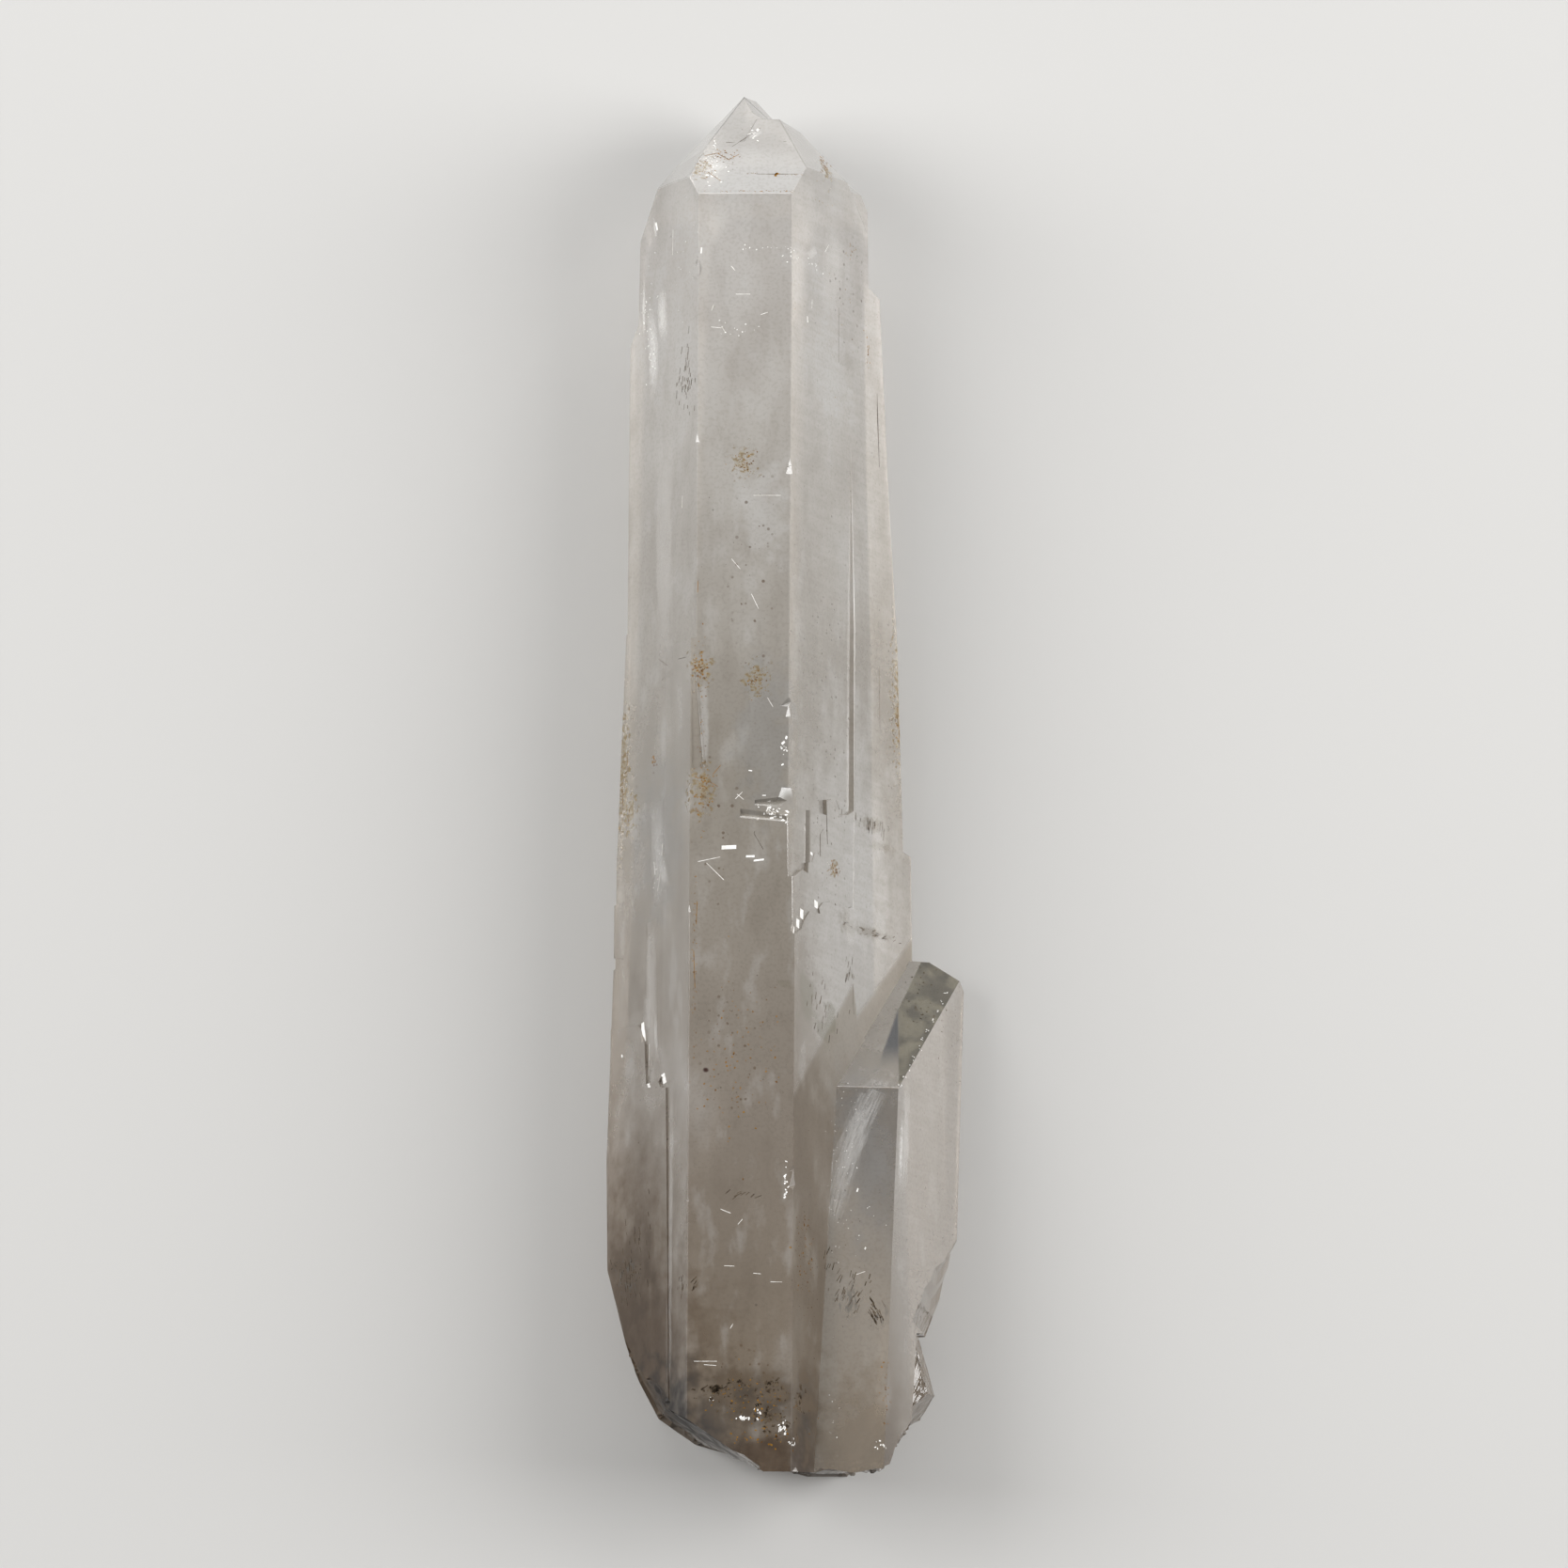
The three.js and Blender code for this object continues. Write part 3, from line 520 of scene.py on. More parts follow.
fields = patches(
    tree, place,
    [((-6.6, -38, 30.6), (5.5, 12, 3)), ((2.6, -64, 28), (2.2, 8, 4)),
     ((-4.5, 24, 29.7), (4, 22, 3)), ((8, 66, 16), (5, 9, 8)), ((-9, -6, 30), (4, 15, 3)),
     ((-4, -82, 31), (7, 8, 3)), ((-8.5, 82, 25), (4, 3.4, 4))],
    broad_rag, 0.35,
)
rust_grain = fall_off(tree, grain, 0.44, 0.54)
rust = times(tree, rust, number_step(tree, "MULTIPLY_ADD", rust_grain, 0.7, 0.3))
spots = times(tree, speck_layer(tree, place, 1700.0, 0.50, 0.24), fields)
stray = speck_layer(tree, place, 520.0, 0.12, 0.14)
colour = mix_colour(tree, times(tree, rust, 0.50), colour, (0.38, 0.255, 0.025))
rust_core = number_step(tree, "MULTIPLY", fall_off(tree, grain, 0.38, 0.46), rust)
colour = mix_colour(tree, times(tree, rust_core, 0.45), colour, (0.20, 0.085, 0.008))
colour = mix_colour(tree, times(tree, spots, 0.65), colour, (0.13, 0.06, 0.012))
colour = mix_colour(tree, times(tree, stray, 0.6), colour, (0.12, 0.09, 0.06))
deep_spot = patches(tree, place, [((-10.4, -40.3, 30.6), (0.5, 0.4, 0.6))], fine_rag, 0.1)
colour = mix_colour(tree, deep_spot, colour, (0.06, 0.015, 0.008))
crack = patches(
    tree, place, [((-1.0, 80.1, 26.5), (3.6, 0.14, 0.3))], fine_rag, 0.25,
)
colour = mix_colour(tree, times(tree, crack, 0.7), colour, (0.20, 0.14, 0.08))

film = number_step(tree, "MAXIMUM", shaded_strip, rim)
film = number_step(tree, "MAXIMUM", film, low_left)
chipped = patches(
    tree, place, [((0.4, -5.0, 29.2), (2.2, 2.4, 1.6)), ((-1.0, -5.8, 29.6), (2.2, 1.4, 1.0))], fine_rag, 0.05,
)
film = number_step(tree, "MAXIMUM", film, times(tree, chipped, not_main_front))
shine = number_step(tree, "MULTIPLY_ADD", number_step(tree, "MAXIMUM", film, rust), -0.8, 0.8, clamp=True)
tree.links.new(shine, shader.inputs["Coat Weight"])

# Green-grey growths and slanting etch marks on the prism faces.
lichen = patches(
    tree, place,
    [((2.6, -30.5, 27.5), (3.4, 4.6, 3)), ((5.6, -33, 23), (2.4, 2.6, 3)),
     ((8.4, -25.4, 18), (1.3, 1.3, 2))], broad_rag, 0.8,
)
colour = mix_colour(tree, times(tree, lichen, 0.45), colour, (0.22, 0.20, 0.12))
hatch_zone = patches(
    tree, place,
    [((-11.7, 66.6, 28.9), (1.0, 1.9, 1.6)),
     ((-20.6, -65.4, 16.5), (3.0, 3.4, 5)),
     ((8.6, -69.6, 23.9), (2.0, 3.2, 2)), ((12.0, -71.7, 24.1), (1.5, 2.4, 2))],
    broad_rag, 0.35,
)
hatch = fall_off(tree, noise_step(tree, slant.outputs[0], 900.0, 1.0), 0.40, 0.47)
hatch = times(tree, hatch, hatch_zone)
colour = mix_colour(tree, times(tree, hatch, 0.6), colour, (0.13, 0.12, 0.10))

# Old fractures near the foot are stained brown, darkest at their rims.
pocket = patches(tree, place, [((-3.6, -83.6, 31), (8, 5, 4)), ((2.2, -85.5, 28), (3.2, 8, 6))], broad_rag, 0.4)
stain = mix_colour(tree, clay_and_shade_mottle, (0.05, 0.032, 0.018), (0.17, 0.115, 0.065))
colour = mix_colour(tree, times(tree, pocket, 0.80), colour, stain)
tree.links.new(colour, shader.inputs["Base Color"])

# Polished by growth, a little greasy, dull where it is rusty or etched. Very fine growth
# lines run across the prism faces, among shallow dimples.
dimples = noise_step(tree, place, 240.0, 2.0)
dull = times(tree, number_step(tree, "MAXIMUM", number_step(tree, "MAXIMUM", rust, hatch), film), 0.4)
gloss = number_step(tree, "MULTIPLY_ADD", dimples, 0.10, 0.14)
tree.links.new(number_step(tree, "ADD", gloss, dull, clamp=True), shader.inputs["Roughness"])
growth_lines = noise_step(tree, place, 1.0, 2.0, (60, 2600, 60))
relief = tree.nodes.new("ShaderNodeBump")
relief.inputs["Strength"].default_value = 0.15
relief.inputs["Distance"].default_value = 0.00006
tree.links.new(number_step(tree, "MULTIPLY_ADD", growth_lines, 0.25, dimples), relief.inputs["Height"])
tree.links.new(relief.outputs[0], shader.inputs["Normal"])

# The finest risers are frosted white, because they stopped growing as rough skeletons; their white is also a painted
# glint where they catch the light.
frost_and_glint, tree, shader, place, colour = new_quartz("frosted_glint_quartz", 0.5)
shader.inputs["Roughness"].default_value = 0.35
sparkle = fall_off(tree, noise_step(tree, place, 1800.0), 0.35, 0.6)
tree.links.new(mix_colour(tree, sparkle, (0.98, 0.97, 0.95), (0.62, 0.60, 0.56)), shader.inputs["Base Color"])

# The worn edges are a little paler than the faces, and rust has caught on some of them.
worn, tree, shader, place, colour = new_quartz("worn_quartz_edge", 0.5)
colour = mix_colour(tree, 0.55, colour, (0.95, 0.94, 0.92))
rusty_edges = patches(
    tree, place,
    [((-11.5, 5, 30), (2, 16, 3)), ((-11.6, -25, 30.4), (2, 16, 3)), ((-3, 77.2, 28.9), (9, 1.5, 2)),
     ((4.5, 60, 12), (12, 3, 9))],
    noise_step(tree, place, 900.0), 0.9,
)
colour = mix_colour(tree, times(tree, rusty_edges, 0.7), colour, (0.24, 0.15, 0.06))
tree.links.new(colour, shader.inputs["Base Color"])
shader.inputs["Roughness"].default_value = 0.45

# The fractures have shells and crumbs. Clay and old iron have settled in them, most of all
# on the left of the foot, and the stub and the right corner are pale with crushed crumbs.
broken, tree, shader, place, colour = new_quartz("broken_quartz", 0.5)
crumbs = noise_step(tree, place, 700.0, 4.0)
colour = mix_colour(tree, 0.45, colour, (0.24, 0.19, 0.14))
clay = patches(tree, place, [((-14, -88, 14), (34, 34, 50))], crumbs, 0.35)
colour = mix_colour(tree, times(tree, clay, 0.9), colour, (0.050, 0.034, 0.021))
shader.inputs["Specular IOR Level"].default_value = 0.1
colour = mix_colour(tree, times(tree, fall_off(tree, crumbs, 0.36, 0.50), 0.45), colour, (0.10, 0.07, 0.045))
crushed = patches(tree, place, [((18.5, -77.5, 9), (7, 12, 16)), ((11.5, -90, 24), (3.4, 3, 5))], crumbs, 0.2)
crushed_tone = mix_colour(tree, fall_off(tree, crumbs, 0.40, 0.62), (0.62, 0.53, 0.44), (0.42, 0.34, 0.265))
colour = mix_colour(tree, times(tree, crushed, 0.9), colour, crushed_tone)
tree.links.new(colour, shader.inputs["Base Color"])
dullness = number_step(tree, "MULTIPLY_ADD", crumbs, 0.3, 0.70, clamp=True)
tree.links.new(dullness, shader.inputs["Roughness"])
ripples = tree.nodes.new("ShaderNodeBump")
ripples.inputs["Strength"].default_value = 0.5
ripples.inputs["Distance"].default_value = 0.0002
tree.links.new(crumbs, ripples.inputs["Height"])
tree.links.new(ripples.outputs[0], shader.inputs["Normal"])
crystal.data.materials.clear()
for material in (quartz, frost_and_glint, worn, broken):
    crystal.data.materials.append(material)


# Veils are cracks that healed while the crystal grew: thin sheets of tiny bubbles that
# come up to its faces. They look white and wispy, and they fade out at their rims.
surface = BVHTree.FromPolygons(
    [vertex.co for vertex in crystal.data.vertices], [face.vertices for face in crystal.data.polygons]
)
proud = 0.012
sunk = 0.05


def face_under(x, y, turn):
    """The place on the crystal under x, y in millimetres, and the directions on it there."""
    hit, normal, index, depth = surface.ray_cast(Vector((x, y, 60)) * millimetre, Vector((0, 0, -1)))
    if hit is None:
        return None
    angle = math.radians(turn)
    way = Vector((math.sin(angle), math.cos(angle), 0))
    along_way = (way - normal * way.dot(normal)).normalized()
    return hit / millimetre, normal, along_way, normal.cross(along_way)


def new_piece(name, mesh, material):
    data = bpy.data.meshes.new(name)
    mesh.to_mesh(data)
    mesh.free()
    data.materials.append(material)
    piece = bpy.data.objects.new(name, data)
    bpy.context.scene.collection.objects.link(piece)
    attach(piece, "root")


def veil(name, x, y, length, width, turn, bend, material, taper=0.0):
    """A sheet laid into the face under x, y: its size, its turn, bent ends and a narrow end."""
    hit, normal, along_way, across_way = face_under(x, y, turn)
    mesh = bmesh.new()
    fade = mesh.verts.layers.float.new("fade")
    run = mesh.verts.layers.float_vector.new("run")
    rows, columns = 18, 6
    layers = []
    for lift in (proud, -sunk):
        layer = []
        for i in range(rows + 1):
            u = i / rows - 0.5
            row = []
            for j in range(columns + 1):
                v = j / columns - 0.5
                side_way = v * width * (1 - taper * u) + bend * 4 * u * u
                flat = hit + along_way * (u * length) + across_way * side_way
                nearest, facing, index, gap = surface.find_nearest(flat * millimetre)
                vertex = mesh.verts.new(nearest + facing * lift * millimetre)
                vertex[fade] = (1 - 4 * u * u) * (1 - 4 * v * v)
                vertex[run] = (u * length + x, v * width + y, 0)
                row.append(vertex)
            layer.append(row)
        layers.append(layer)
    upper, lower = layers
    for i in range(rows):
        for j in range(columns):
            mesh.faces.new((upper[i][j], upper[i + 1][j], upper[i + 1][j + 1], upper[i][j + 1]))
            mesh.faces.new((lower[i][j], lower[i][j + 1], lower[i + 1][j + 1], lower[i + 1][j]))
    rim = [(i, 0) for i in range(rows)] + [(rows, j) for j in range(columns)]
    rim += [(i, columns) for i in range(rows, 0, -1)] + [(0, j) for j in range(columns, 0, -1)]
    for (i, j), (k, m) in zip(rim, rim[1:] + rim[:1]):
        mesh.faces.new((upper[i][j], lower[i][j], lower[k][m], upper[k][m]))
    bmesh.ops.recalc_face_normals(mesh, faces=mesh.faces)
    new_piece(name, mesh, material)


def wispy(name, colour, cover, stretch, strength):
    """A material of wisps along a sheet: the share that they cover and how dense they are."""
    material = bpy.data.materials.new(name)
    material.use_nodes = True
    tree = material.node_tree
    face = tree.nodes["Principled BSDF"]
    face.inputs["Base Color"].default_value = (*colour, 1)
    face.inputs["Roughness"].default_value = 0.4
    sheet_run = tree.nodes.new("ShaderNodeAttribute")
    sheet_run.attribute_name = "run"
    sheet_fade = tree.nodes.new("ShaderNodeAttribute")
    sheet_fade.attribute_name = "fade"
    wisps = noise_step(tree, sheet_run.outputs["Vector"], 1.0, 5.0, stretch)
    middle = number_step(tree, "POWER", sheet_fade.outputs["Fac"], 0.6)
    thin = number_step(tree, "MULTIPLY_ADD", middle, -0.40, 1.05 - cover)
    seen = number_step(tree, "SUBTRACT", wisps, thin)
    seen = number_step(tree, "MULTIPLY", seen, 4.0, clamp=True)
    tree.links.new(times(tree, seen, middle, strength), face.inputs["Alpha"])
    return material


milky = wispy("milky_veil", (0.85, 0.84, 0.82), 0.52, (0.35, 1.6, 1), 0.16)
streaky = wispy("streaky_veil", (0.86, 0.85, 0.83), 0.40, (0.30, 4.5, 1), 0.27)
bright = wispy("bright_veil", (0.92, 0.91, 0.89), 0.42, (1.3, 4.0, 1), 0.40)
veil("veil_left_shoulder", -17.5, 57.8, 14, 3.0, 168, -0.9, bright)
veil("veil_left_patch", -16.3, 62.3, 8, 3.0, 170, 0.3, bright)
veil("veil_left_edge", -18.8, 64.0, 8, 0.9, 176, 0.1, bright)
veil("veil_left_corner", -17.3, 74.4, 3.4, 0.7, 150, 0.1, bright)
veil("veil_left_middle", -16.8, -10, 14, 3.6, 168, 0.5, milky)
veil("veil_left_streaks", -16.0, -13.0, 4.4, 2.4, 142, 0.3, streaky)
veil("veil_left_upper", -16.0, 30, 34, 5.0, 178, 0.3, milky)
veil("veil_left_lower", -17.6, -29, 20, 3.0, 176, 0.4, milky)
veil("veil_left_lower_streaks", -17.0, -34.5, 7, 1.2, 168, 0.2, streaky)
veil("veil_side_streaks", 9.4, -46.5, 20, 4.4, 203, 0.5, streaky)
veil("veil_side_streaks_inner", 8.0, -52.0, 18, 3.4, 196, 0.3, streaky)
veil("veil_left_ledge", -15.0, -62, 42, 1.6, 179.6, 0.0, milky)
veil("veil_side_right", 15.1, -49.6, 11, 1.3, 13, 0.1, bright)
veil("veil_side_right_haze", 15.7, -48.0, 17, 2.6, 12, 0.2, streaky)
veil("veil_across_right", 3.4, 69.8, 3.8, 1.8, 78, 0.3, streaky)
veil("veil_cloud_right", 6.2, 68.5, 12, 6.0, 20, 0.3, milky)
veil("veil_point_top", -3.9, 86.6, 3.4, 1.4, 32, 0.1, streaky)
veil("veil_point_corner", -9.2, 81.3, 4.0, 3.0, 40, 0.1, streaky)
veil("veil_cloudy_upper", 12.3, -7.0, 6.0, 3.4, 8, 0.0, milky)
veil("veil_cloudy_left", 8.6, -19.3, 6.0, 3.6, 5, 0.0, milky)
veil("veil_cloudy_right", 12.6, -18.6, 6.0, 3.4, 12, 0.0, milky)


# Glints are painted highlights: each is a flake of white let into the face where a flat bit of a crack or
# cleavage reaches it and catches the light, and it stays bright from any side. Needles are long thin pale cracks.
def add_flake(mesh, x, y, length, width, turn, shear=0.0):
    """A flake in the face under x, y, in millimetres, turned in degrees from the Y axis."""
    spot = face_under(x, y, turn)
    if spot is None:
        return
    hit, normal, along_way, across_way = spot
    corners = [(-0.5, -0.5), (-0.5, 0.5), (0.5, 0.5), (0.5, -0.5)]
    rings = []
    for lift in (proud, -sunk):
        ring = []
        for u, v in corners:
            flat = hit + along_way * (u * length) + across_way * (v * width + u * shear)
            nearest, facing, index, gap = surface.find_nearest(flat * millimetre)
            ring.append(mesh.verts.new(nearest + facing * lift * millimetre))
        rings.append(ring)
    top, bottom = rings
    sides = [mesh.faces.new(top), mesh.faces.new(bottom[::-1])]
    for i in range(4):
        j = (i + 1) % 4
        sides.append(mesh.faces.new((top[j], top[i], bottom[i], bottom[j])))
    bmesh.ops.recalc_face_normals(mesh, faces=sides)


def grainy(name, light, dark, roughness, gleam=0.5):
    """A solid material of two tones in fine grains."""
    material = bpy.data.materials.new(name)
    material.use_nodes = True
    tree = material.node_tree
    face = tree.nodes["Principled BSDF"]
    face.inputs["Roughness"].default_value = roughness
    face.inputs["Specular IOR Level"].default_value = gleam
    place = tree.nodes.new("ShaderNodeTexCoord").outputs["Object"]
    share = fall_off(tree, noise_step(tree, place, 1500.0), 0.35, 0.60)
    tree.links.new(mix_colour(tree, share, light, dark), face.inputs["Base Color"])
    return material


# Each glint: where it is, its length, its width, its turn and how far its ends are sheared.
painted_glint_white = grainy("painted_glint_white", (0.95, 0.94, 0.92), (0.72, 0.70, 0.67), 0.25)
glints = bmesh.new()
for x, y, length, width, turn, shear in [
    (-7.4, -10.8, 1.9, 0.50, 92, 0.15), (-4.6, -12.0, 1.1, 0.28, 100, 0.2), (-3.5, -12.5, 1.3, 0.22, 96, 0.3),
    (-18.6, -33.5, 2.7, 0.65, 158, 0.1), (-15.9, -40.4, 1.4, 1.0, 165, 0.5), (-17.9, -40.9, 0.55, 0.6, 0, 0.3),
    (4.0, -17.5, 0.9, 0.9, 205, 0.2), (2.1, -19.3, 1.2, 0.8, 205, 0.2), (1.6, -20.7, 1.1, 0.75, 208, 0.2),
    (0.95, -21.6, 0.9, 0.7, 215, 0.2), (3.4, -10.9, 0.35, 0.5, 200, 0.1), (-21.5, -36.0, 0.4, 0.3, 160, 0.1),
    (-0.3, 3.1, 0.5, 0.3, 60, 0.1), (0.1, 3.8, 0.4, 0.25, 30, 0.1), (-0.4, 0.2, 0.3, 0.2, 80, 0.1),
    (-4.6, -0.6, 0.45, 0.14, 110, 0.1), (-2.8, -3.9, 0.45, 0.1, 95, 0.05), (2.9, 60.7, 0.8, 0.22, 5, 0.1),
    (-3.7, 87.4, 0.5, 0.35, 30, 0.1), (-4.2, 86.2, 0.7, 0.22, 25, 0.1), (-11.1, 69.2, 0.8, 0.18, 8, 0.05),
    (10.4, -62.7, 0.3, 0.2, 40, 0.1), (9.4, -54.9, 0.5, 0.2, 30, 0.1), (-17.1, 74.6, 1.2, 0.35, 150, 0.1),
]:
    add_flake(glints, x, y, length, width, turn, shear)
new_piece("glints", glints, painted_glint_white)

# Each needle: where it is, its length and its turn.
pale_needle = grainy("pale_needle", (0.84, 0.82, 0.79), (0.55, 0.52, 0.48), 0.3)
needles = bmesh.new()
needle_width = 0.065
for x, y, length, turn in [
    (-5.6, 63.3, 1.9, 90), (-2.4, 36.2, 3.6, 90), (-14.9, 71.6, 3.4, 2), (-2.8, 60.7, 1.0, 70),
    (-9.0, 58.8, 1.6, 95), (-8.2, 58.6, 0.8, 150), (-6.9, 66.8, 0.8, 140), (-9.6, 61.5, 0.9, 20),
    (-6.1, -3.9, 1.3, 45), (-5.9, -4.1, 1.1, 130), (-10.0, -12.4, 3.0, 78), (-9.2, -14.0, 3.2, 135),
    (-7.8, -58.9, 1.4, 112), (-5.9, -60.3, 0.9, 40), (-7.3, -66.1, 1.3, 92), (-3.7, -67.1, 1.0, 95),
    (-1.2, -68.2, 1.5, 91), (-10.4, -78.6, 3.0, 90), (-9.8, -79.1, 1.6, 94), (-17.9, -37.4, 4.2, 2),
    (-16.6, -14.0, 2.4, 30), (-16.2, -9.8, 1.6, 12), (-17.2, -12.0, 1.8, 160), (5.5, 71.3, 1.6, 60),
    (-13.6, 36.0, 1.6, 8), (-6.5, 27.0, 1.8, 140), (-4.0, 22.0, 2.2, 155), (-2.0, 8.5, 1.4, 150),
    (9.8, -66.0, 1.2, 70), (-7.0, -74.0, 0.7, 30), (3.5, 63.0, 1.2, 15),
]:
    add_flake(needles, x, y, length, needle_width, turn)
new_piece("needle_cracks", needles, pale_needle)


# Dark lines are open cracks and growth steps with clay in them, and rust lines are cracks
# with iron in them. Strokes are etched in groups: each group has its middle, its spread
# across and along, its count and its turn.
dark_clay = grainy("dark_clay", (0.10, 0.075, 0.05), (0.035, 0.024, 0.015), 0.8, 0.1)
ochre_rust = grainy("ochre_rust", (0.24, 0.115, 0.012), (0.10, 0.04, 0.006), 0.8, 0.1)
dark_lines = bmesh.new()
for x, y, length, turn in [
    (-5.2, 86.1, 6.0, 27), (12.3, 49.1, 10.0, 177), (12.45, 12.7, 8.1, 178), (-16.1, 15.25, 2.7, 105),
    (-13.6, 14.85, 2.4, 92), (-3.9, -7.95, 2.1, 11), (-3.5, -10.05, 2.4, 150), (5.35, -16.85, 1.95, 81),
    (6.55, -16.95, 0.7, 135), (8.2, -16.95, 2.9, 80), (5.75, -3.1, 1.25, 61), (6.85, -3.15, 1.3, 122),
    (7.05, 60.1, 7.5, 1), (8.9, -28.8, 4.0, 173), (-3.9, 85.5, 8.0, 91),
]:
    add_flake(dark_lines, x, y, length, 0.7 * needle_width, turn)
new_piece("dark_lines", dark_lines, dark_clay)
rust_lines = bmesh.new()
for x, y, length, turn in [
    (-9.8, 83.35, 1.9, 69), (-8.2, 82.95, 2.0, 137), (-6.85, 82.9, 1.8, 43), (-9.4, 79.7, 2.4, 143),
    (-21.75, 4.5, 5.0, 178), (-21.5, -1.0, 4.0, 2), (-20.9, 3.0, 3.4, 5), (-20.7, -4.2, 2.2, 20),
    (14.9, 11.0, 3.4, 178), (15.1, 8.0, 2.6, 4), (-11.9, -27.0, 5.0, 178), (-11.6, -19.5, 3.0, 2), (-11.5, 24.0, 1.6, 2), (-9.0, -0.5, 1.6, 40),
    (-9.4, -2.4, 1.3, 120), (6.2, -11.4, 0.9, 25), (6.8, -12.6, 0.8, 120), (5.6, -12.5, 0.8, 75),
]:
    add_flake(rust_lines, x, y, length, needle_width, turn)
new_piece("rust_lines", rust_lines, ochre_rust)
strokes = bmesh.new()
stroke_dice = random.Random(17)
for x, y, across, along_edge, count, turn in [
    (8.7, -68.2, 2.2, 3.0, 26, 24), (11.7, -71.6, 1.2, 2.4, 26, 150), (-20.4, -65.8, 2.2, 3.6, 34, 152),
    (-13.8, -68.8, 1.0, 1.6, 14, 32), (-11.6, -68.6, 0.8, 1.0, 8, 32), (-13.1, 52.6, 1.1, 5.0, 44, 20),
    (11.4, -4.8, 2.8, 1.2, 26, 12), (10.9, -19.2, 4.4, 0.6, 24, 85), (-5.4, -56.6, 1.6, 1.0, 8, 55),
    (6.0, -66.0, 1.2, 3.0, 12, 20), (-19.6, -60.0, 3.0, 5.0, 16, 160), (4.6, -31.0, 2.2, 3.4, 22, 30),
    (8.4, -25.4, 0.8, 1.4, 14, 30), (-8.8, -82.4, 1.8, 1.2, 10, 60),
]:
    for k in range(count):
        add_flake(
            strokes, stroke_dice.gauss(x, across / 2), stroke_dice.gauss(y, along_edge / 2),
            stroke_dice.uniform(0.35, 1.15), stroke_dice.uniform(0.05, 0.13), turn + stroke_dice.uniform(-14, 14),
        )
new_piece("etched_strokes", strokes, dark_clay)


# Crushed spots along edges and in the stained pocket are strewn with tiny random white crumbs, painted bright
# as their glitter, and crumbs of ochre iron rust have stuck to the faces. Each cluster: its middle, its spread
# across and along, how many crumbs it has and how large they are.
def scatter(name, clusters, material, dice, flatness=0.3):
    mesh = bmesh.new()
    for x, y, across, along_edge, count, largest in clusters:
        for k in range(count):
            size = largest * dice.uniform(0.35, 1.0)
            add_flake(
                mesh, dice.gauss(x, across / 2), dice.gauss(y, along_edge / 2), size,
                size * dice.uniform(flatness, 0.9), dice.uniform(0, 180), size * dice.uniform(-0.4, 0.4),
            )
    new_piece(name, mesh, material)


scatter("crushed_crumbs", [
    (-1.6, -6.4, 1.8, 1.3, 26, 0.55), (0.0, -55.4, 0.3, 3.4, 16, 0.3), (-0.2, 2.4, 0.5, 1.2, 10, 0.3),
    (-17.8, 57.6, 0.7, 4.6, 14, 0.35), (-18.6, 63.4, 0.3, 2.2, 10, 0.3), (-9.5, 80.5, 2.2, 2.2, 20, 0.3),
    (-4.4, 86.4, 0.7, 1.3, 10, 0.3), (2.0, 68.4, 3.6, 0.7, 14, 0.25), (-5.9, -86.1, 1.0, 0.3, 9, 0.45),
    (-3.6, -85.4, 0.8, 0.8, 6, 0.4), (-0.4, -87.4, 0.8, 0.8, 14, 0.45), (0.9, -89.2, 0.5, 0.7, 8, 0.4),
    (-9.6, -83.4, 0.4, 0.4, 4, 0.3), (12.2, -89.0, 0.8, 0.8, 9, 0.34), (-6.5, 58.5, 3.4, 1.6, 14, 0.2),
    (-2.0, 69.6, 7.0, 0.4, 16, 0.20), (-18.0, 61.0, 1.4, 8.0, 30, 0.22), (-16.5, -12.0, 1.4, 3.6, 12, 0.2), (7.8, -47.0, 2.2, 9.0, 40, 0.16),
    (6.2, -56.0, 0.9, 16.0, 26, 0.14), (8.9, -59.0, 2.4, 6.0, 12, 0.16), (6.2, -85.0, 0.6, 6.0, 10, 0.16),
    (-9.4, 84.9, 0.2, 1.8, 10, 0.22), (-13.5, 67.0, 2.0, 8.0, 14, 0.14),
], painted_glint_white, random.Random(7))
point_edge = [(21.2 - 0.62 * k, -26.6 - 1.42 * k, 0.3, 0.5, 3, 0.22) for k in range(11)]
scatter("side_point_crumbs", point_edge, painted_glint_white, random.Random(9))
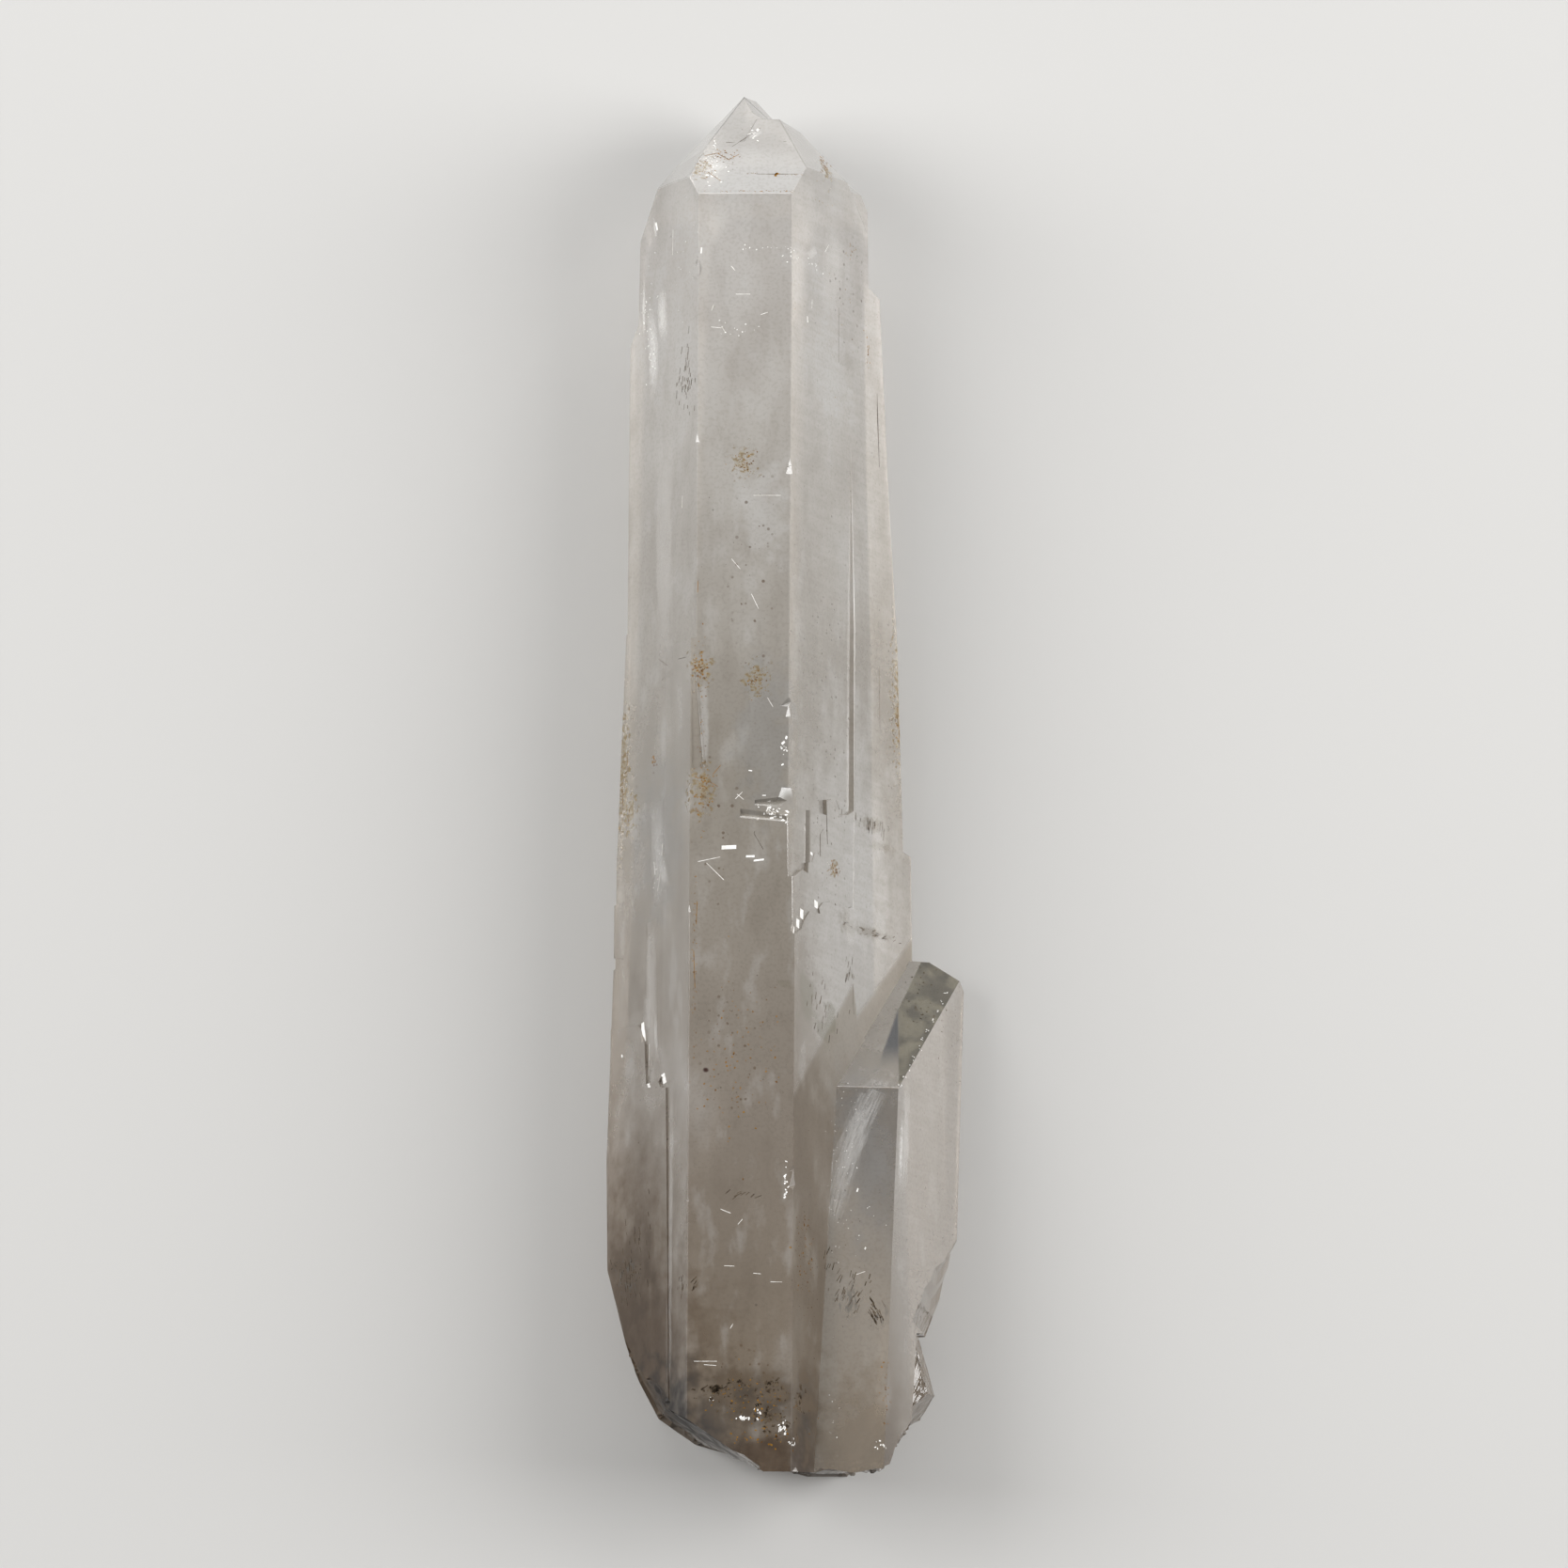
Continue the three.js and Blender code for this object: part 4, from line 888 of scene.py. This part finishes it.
scatter("rust_crumbs", [
    (-11.2, 13.2, 1.0, 2.6, 60, 0.26), (-10.8, -3.1, 1.2, 4.0, 70, 0.26), (-3.8, 11.5, 1.4, 2.0, 30, 0.20),
    (6.4, -12.1, 0.8, 1.0, 26, 0.26), (-21.7, 2.5, 0.3, 7.0, 20, 0.20), (-17.3, 2.1, 0.4, 1.2, 16, 0.30),
    (14.7, 9.4, 0.4, 5.0, 24, 0.22), (-5.3, 40.6, 1.6, 2.0, 50, 0.20), (5.2, 83.0, 0.7, 2.6, 40, 0.32),
    (11.0, 58.4, 0.2, 3.0, 16, 0.28), (8.8, 72.1, 0.6, 1.0, 14, 0.24), (-10.9, 5.0, 0.5, 12.0, 40, 0.20),
    (-8.0, 83.2, 2.8, 1.2, 44, 0.22), (-10.4, 80.8, 1.0, 1.8, 22, 0.20), (-1.2, 80.1, 0.3, 0.2, 10, 0.40),
    (1.6, 80.0, 1.8, 0.1, 12, 0.14), (-4.6, 80.2, 1.6, 0.1, 10, 0.14), (-6.6, -38.0, 5.0, 11.0, 110, 0.25),
    (2.6, -64.0, 1.2, 7.0, 60, 0.26), (-3.0, 77.3, 8.0, 0.15, 60, 0.16), (-11.9, -25.0, 0.5, 16.0, 60, 0.20),
    (7.0, 64.0, 5.0, 10.0, 24, 0.18), (13.0, -82.0, 0.9, 5.0, 26, 0.24), (-4.0, -84.0, 6.0, 3.0, 60, 0.26),
    (-2.0, -88.5, 5.0, 2.0, 40, 0.30),
], ochre_rust, random.Random(11))
scatter("dark_crumbs", [
    (-4.4, -83.4, 6.5, 2.6, 60, 0.50), (-1.0, -87.2, 2.6, 2.2, 30, 0.50), (-8.5, -82.5, 3.0, 1.6, 20, 0.40),
    (-6.0, -40.0, 7.0, 16.0, 40, 0.14), (-5.0, 30.0, 7.0, 26.0, 30, 0.12), (8.5, -66.0, 4.0, 18.0, 50, 0.14),
    (18.2, -28.0, 3.6, 6.4, 60, 0.26), (5.0, 10.0, 5.0, 40.0, 60, 0.12), (-17.0, -30.0, 4.0, 40.0, 30, 0.13),
    (-20.6, -65.4, 2.4, 3.0, 30, 0.30),
    (-9.3, -82.3, 1.0, 0.8, 14, 0.9), (-1.6, -81.8, 1.4, 0.6, 12, 0.8), (-2.4, -85.9, 1.6, 0.6, 16, 0.9),
    (-6.5, -81.4, 2.5, 0.5, 14, 0.7), (1.9, -83.5, 0.8, 2.0, 14, 0.8), (2.8, -66.0, 1.4, 16.0, 50, 0.16),
], dark_clay, random.Random(13))


# The floor is a wide pale sheet of studio paper.
floor_data = bpy.data.meshes.new("paper_floor")
floor_data.from_pydata([(-3, -3, 0), (3, -3, 0), (3, 3, 0), (-3, 3, 0)], [], [(0, 1, 2, 3)])
floor = bpy.data.objects.new("paper_floor", floor_data)
bpy.context.scene.collection.objects.link(floor)
paper = bpy.data.materials.new("pale_paper")
paper.use_nodes = True
paper.node_tree.nodes["Principled BSDF"].inputs["Base Color"].default_value = (0.52, 0.515, 0.505, 1)
paper.node_tree.nodes["Principled BSDF"].inputs["Roughness"].default_value = 0.9
floor.data.materials.append(paper)


# Soft boxes stand beyond the point, low enough to shine off its front face, and higher at
# both sides. The space overhead stays dim.
def soft_box(name, where, size, watts):
    lamp = bpy.data.lights.new(name, "AREA")
    lamp.shape = "RECTANGLE"
    lamp.size, lamp.size_y = size
    lamp.energy = watts
    box = bpy.data.objects.new(name, lamp)
    box.matrix_world = Matrix.Translation(where) @ (-Vector(where)).to_track_quat("-Z", "Y").to_matrix().to_4x4()
    bpy.context.scene.collection.objects.link(box)


soft_box("soft_box_beyond", (0.0, 1.0, 0.42), (1.5, 0.66), 9)
soft_box("soft_box_left", (-0.78, 0.15, 0.60), (0.5, 0.9), 8)
soft_box("soft_box_right", (0.80, 0.05, 0.58), (0.5, 0.9), 9)

world = bpy.data.worlds.new("studio")
world.use_nodes = True
world.node_tree.nodes["Background"].inputs["Color"].default_value = (0.775, 0.765, 0.745, 1)
world.node_tree.nodes["Background"].inputs["Strength"].default_value = 0.42
bpy.context.scene.world = world
bpy.context.scene.view_settings.view_transform = "Standard"
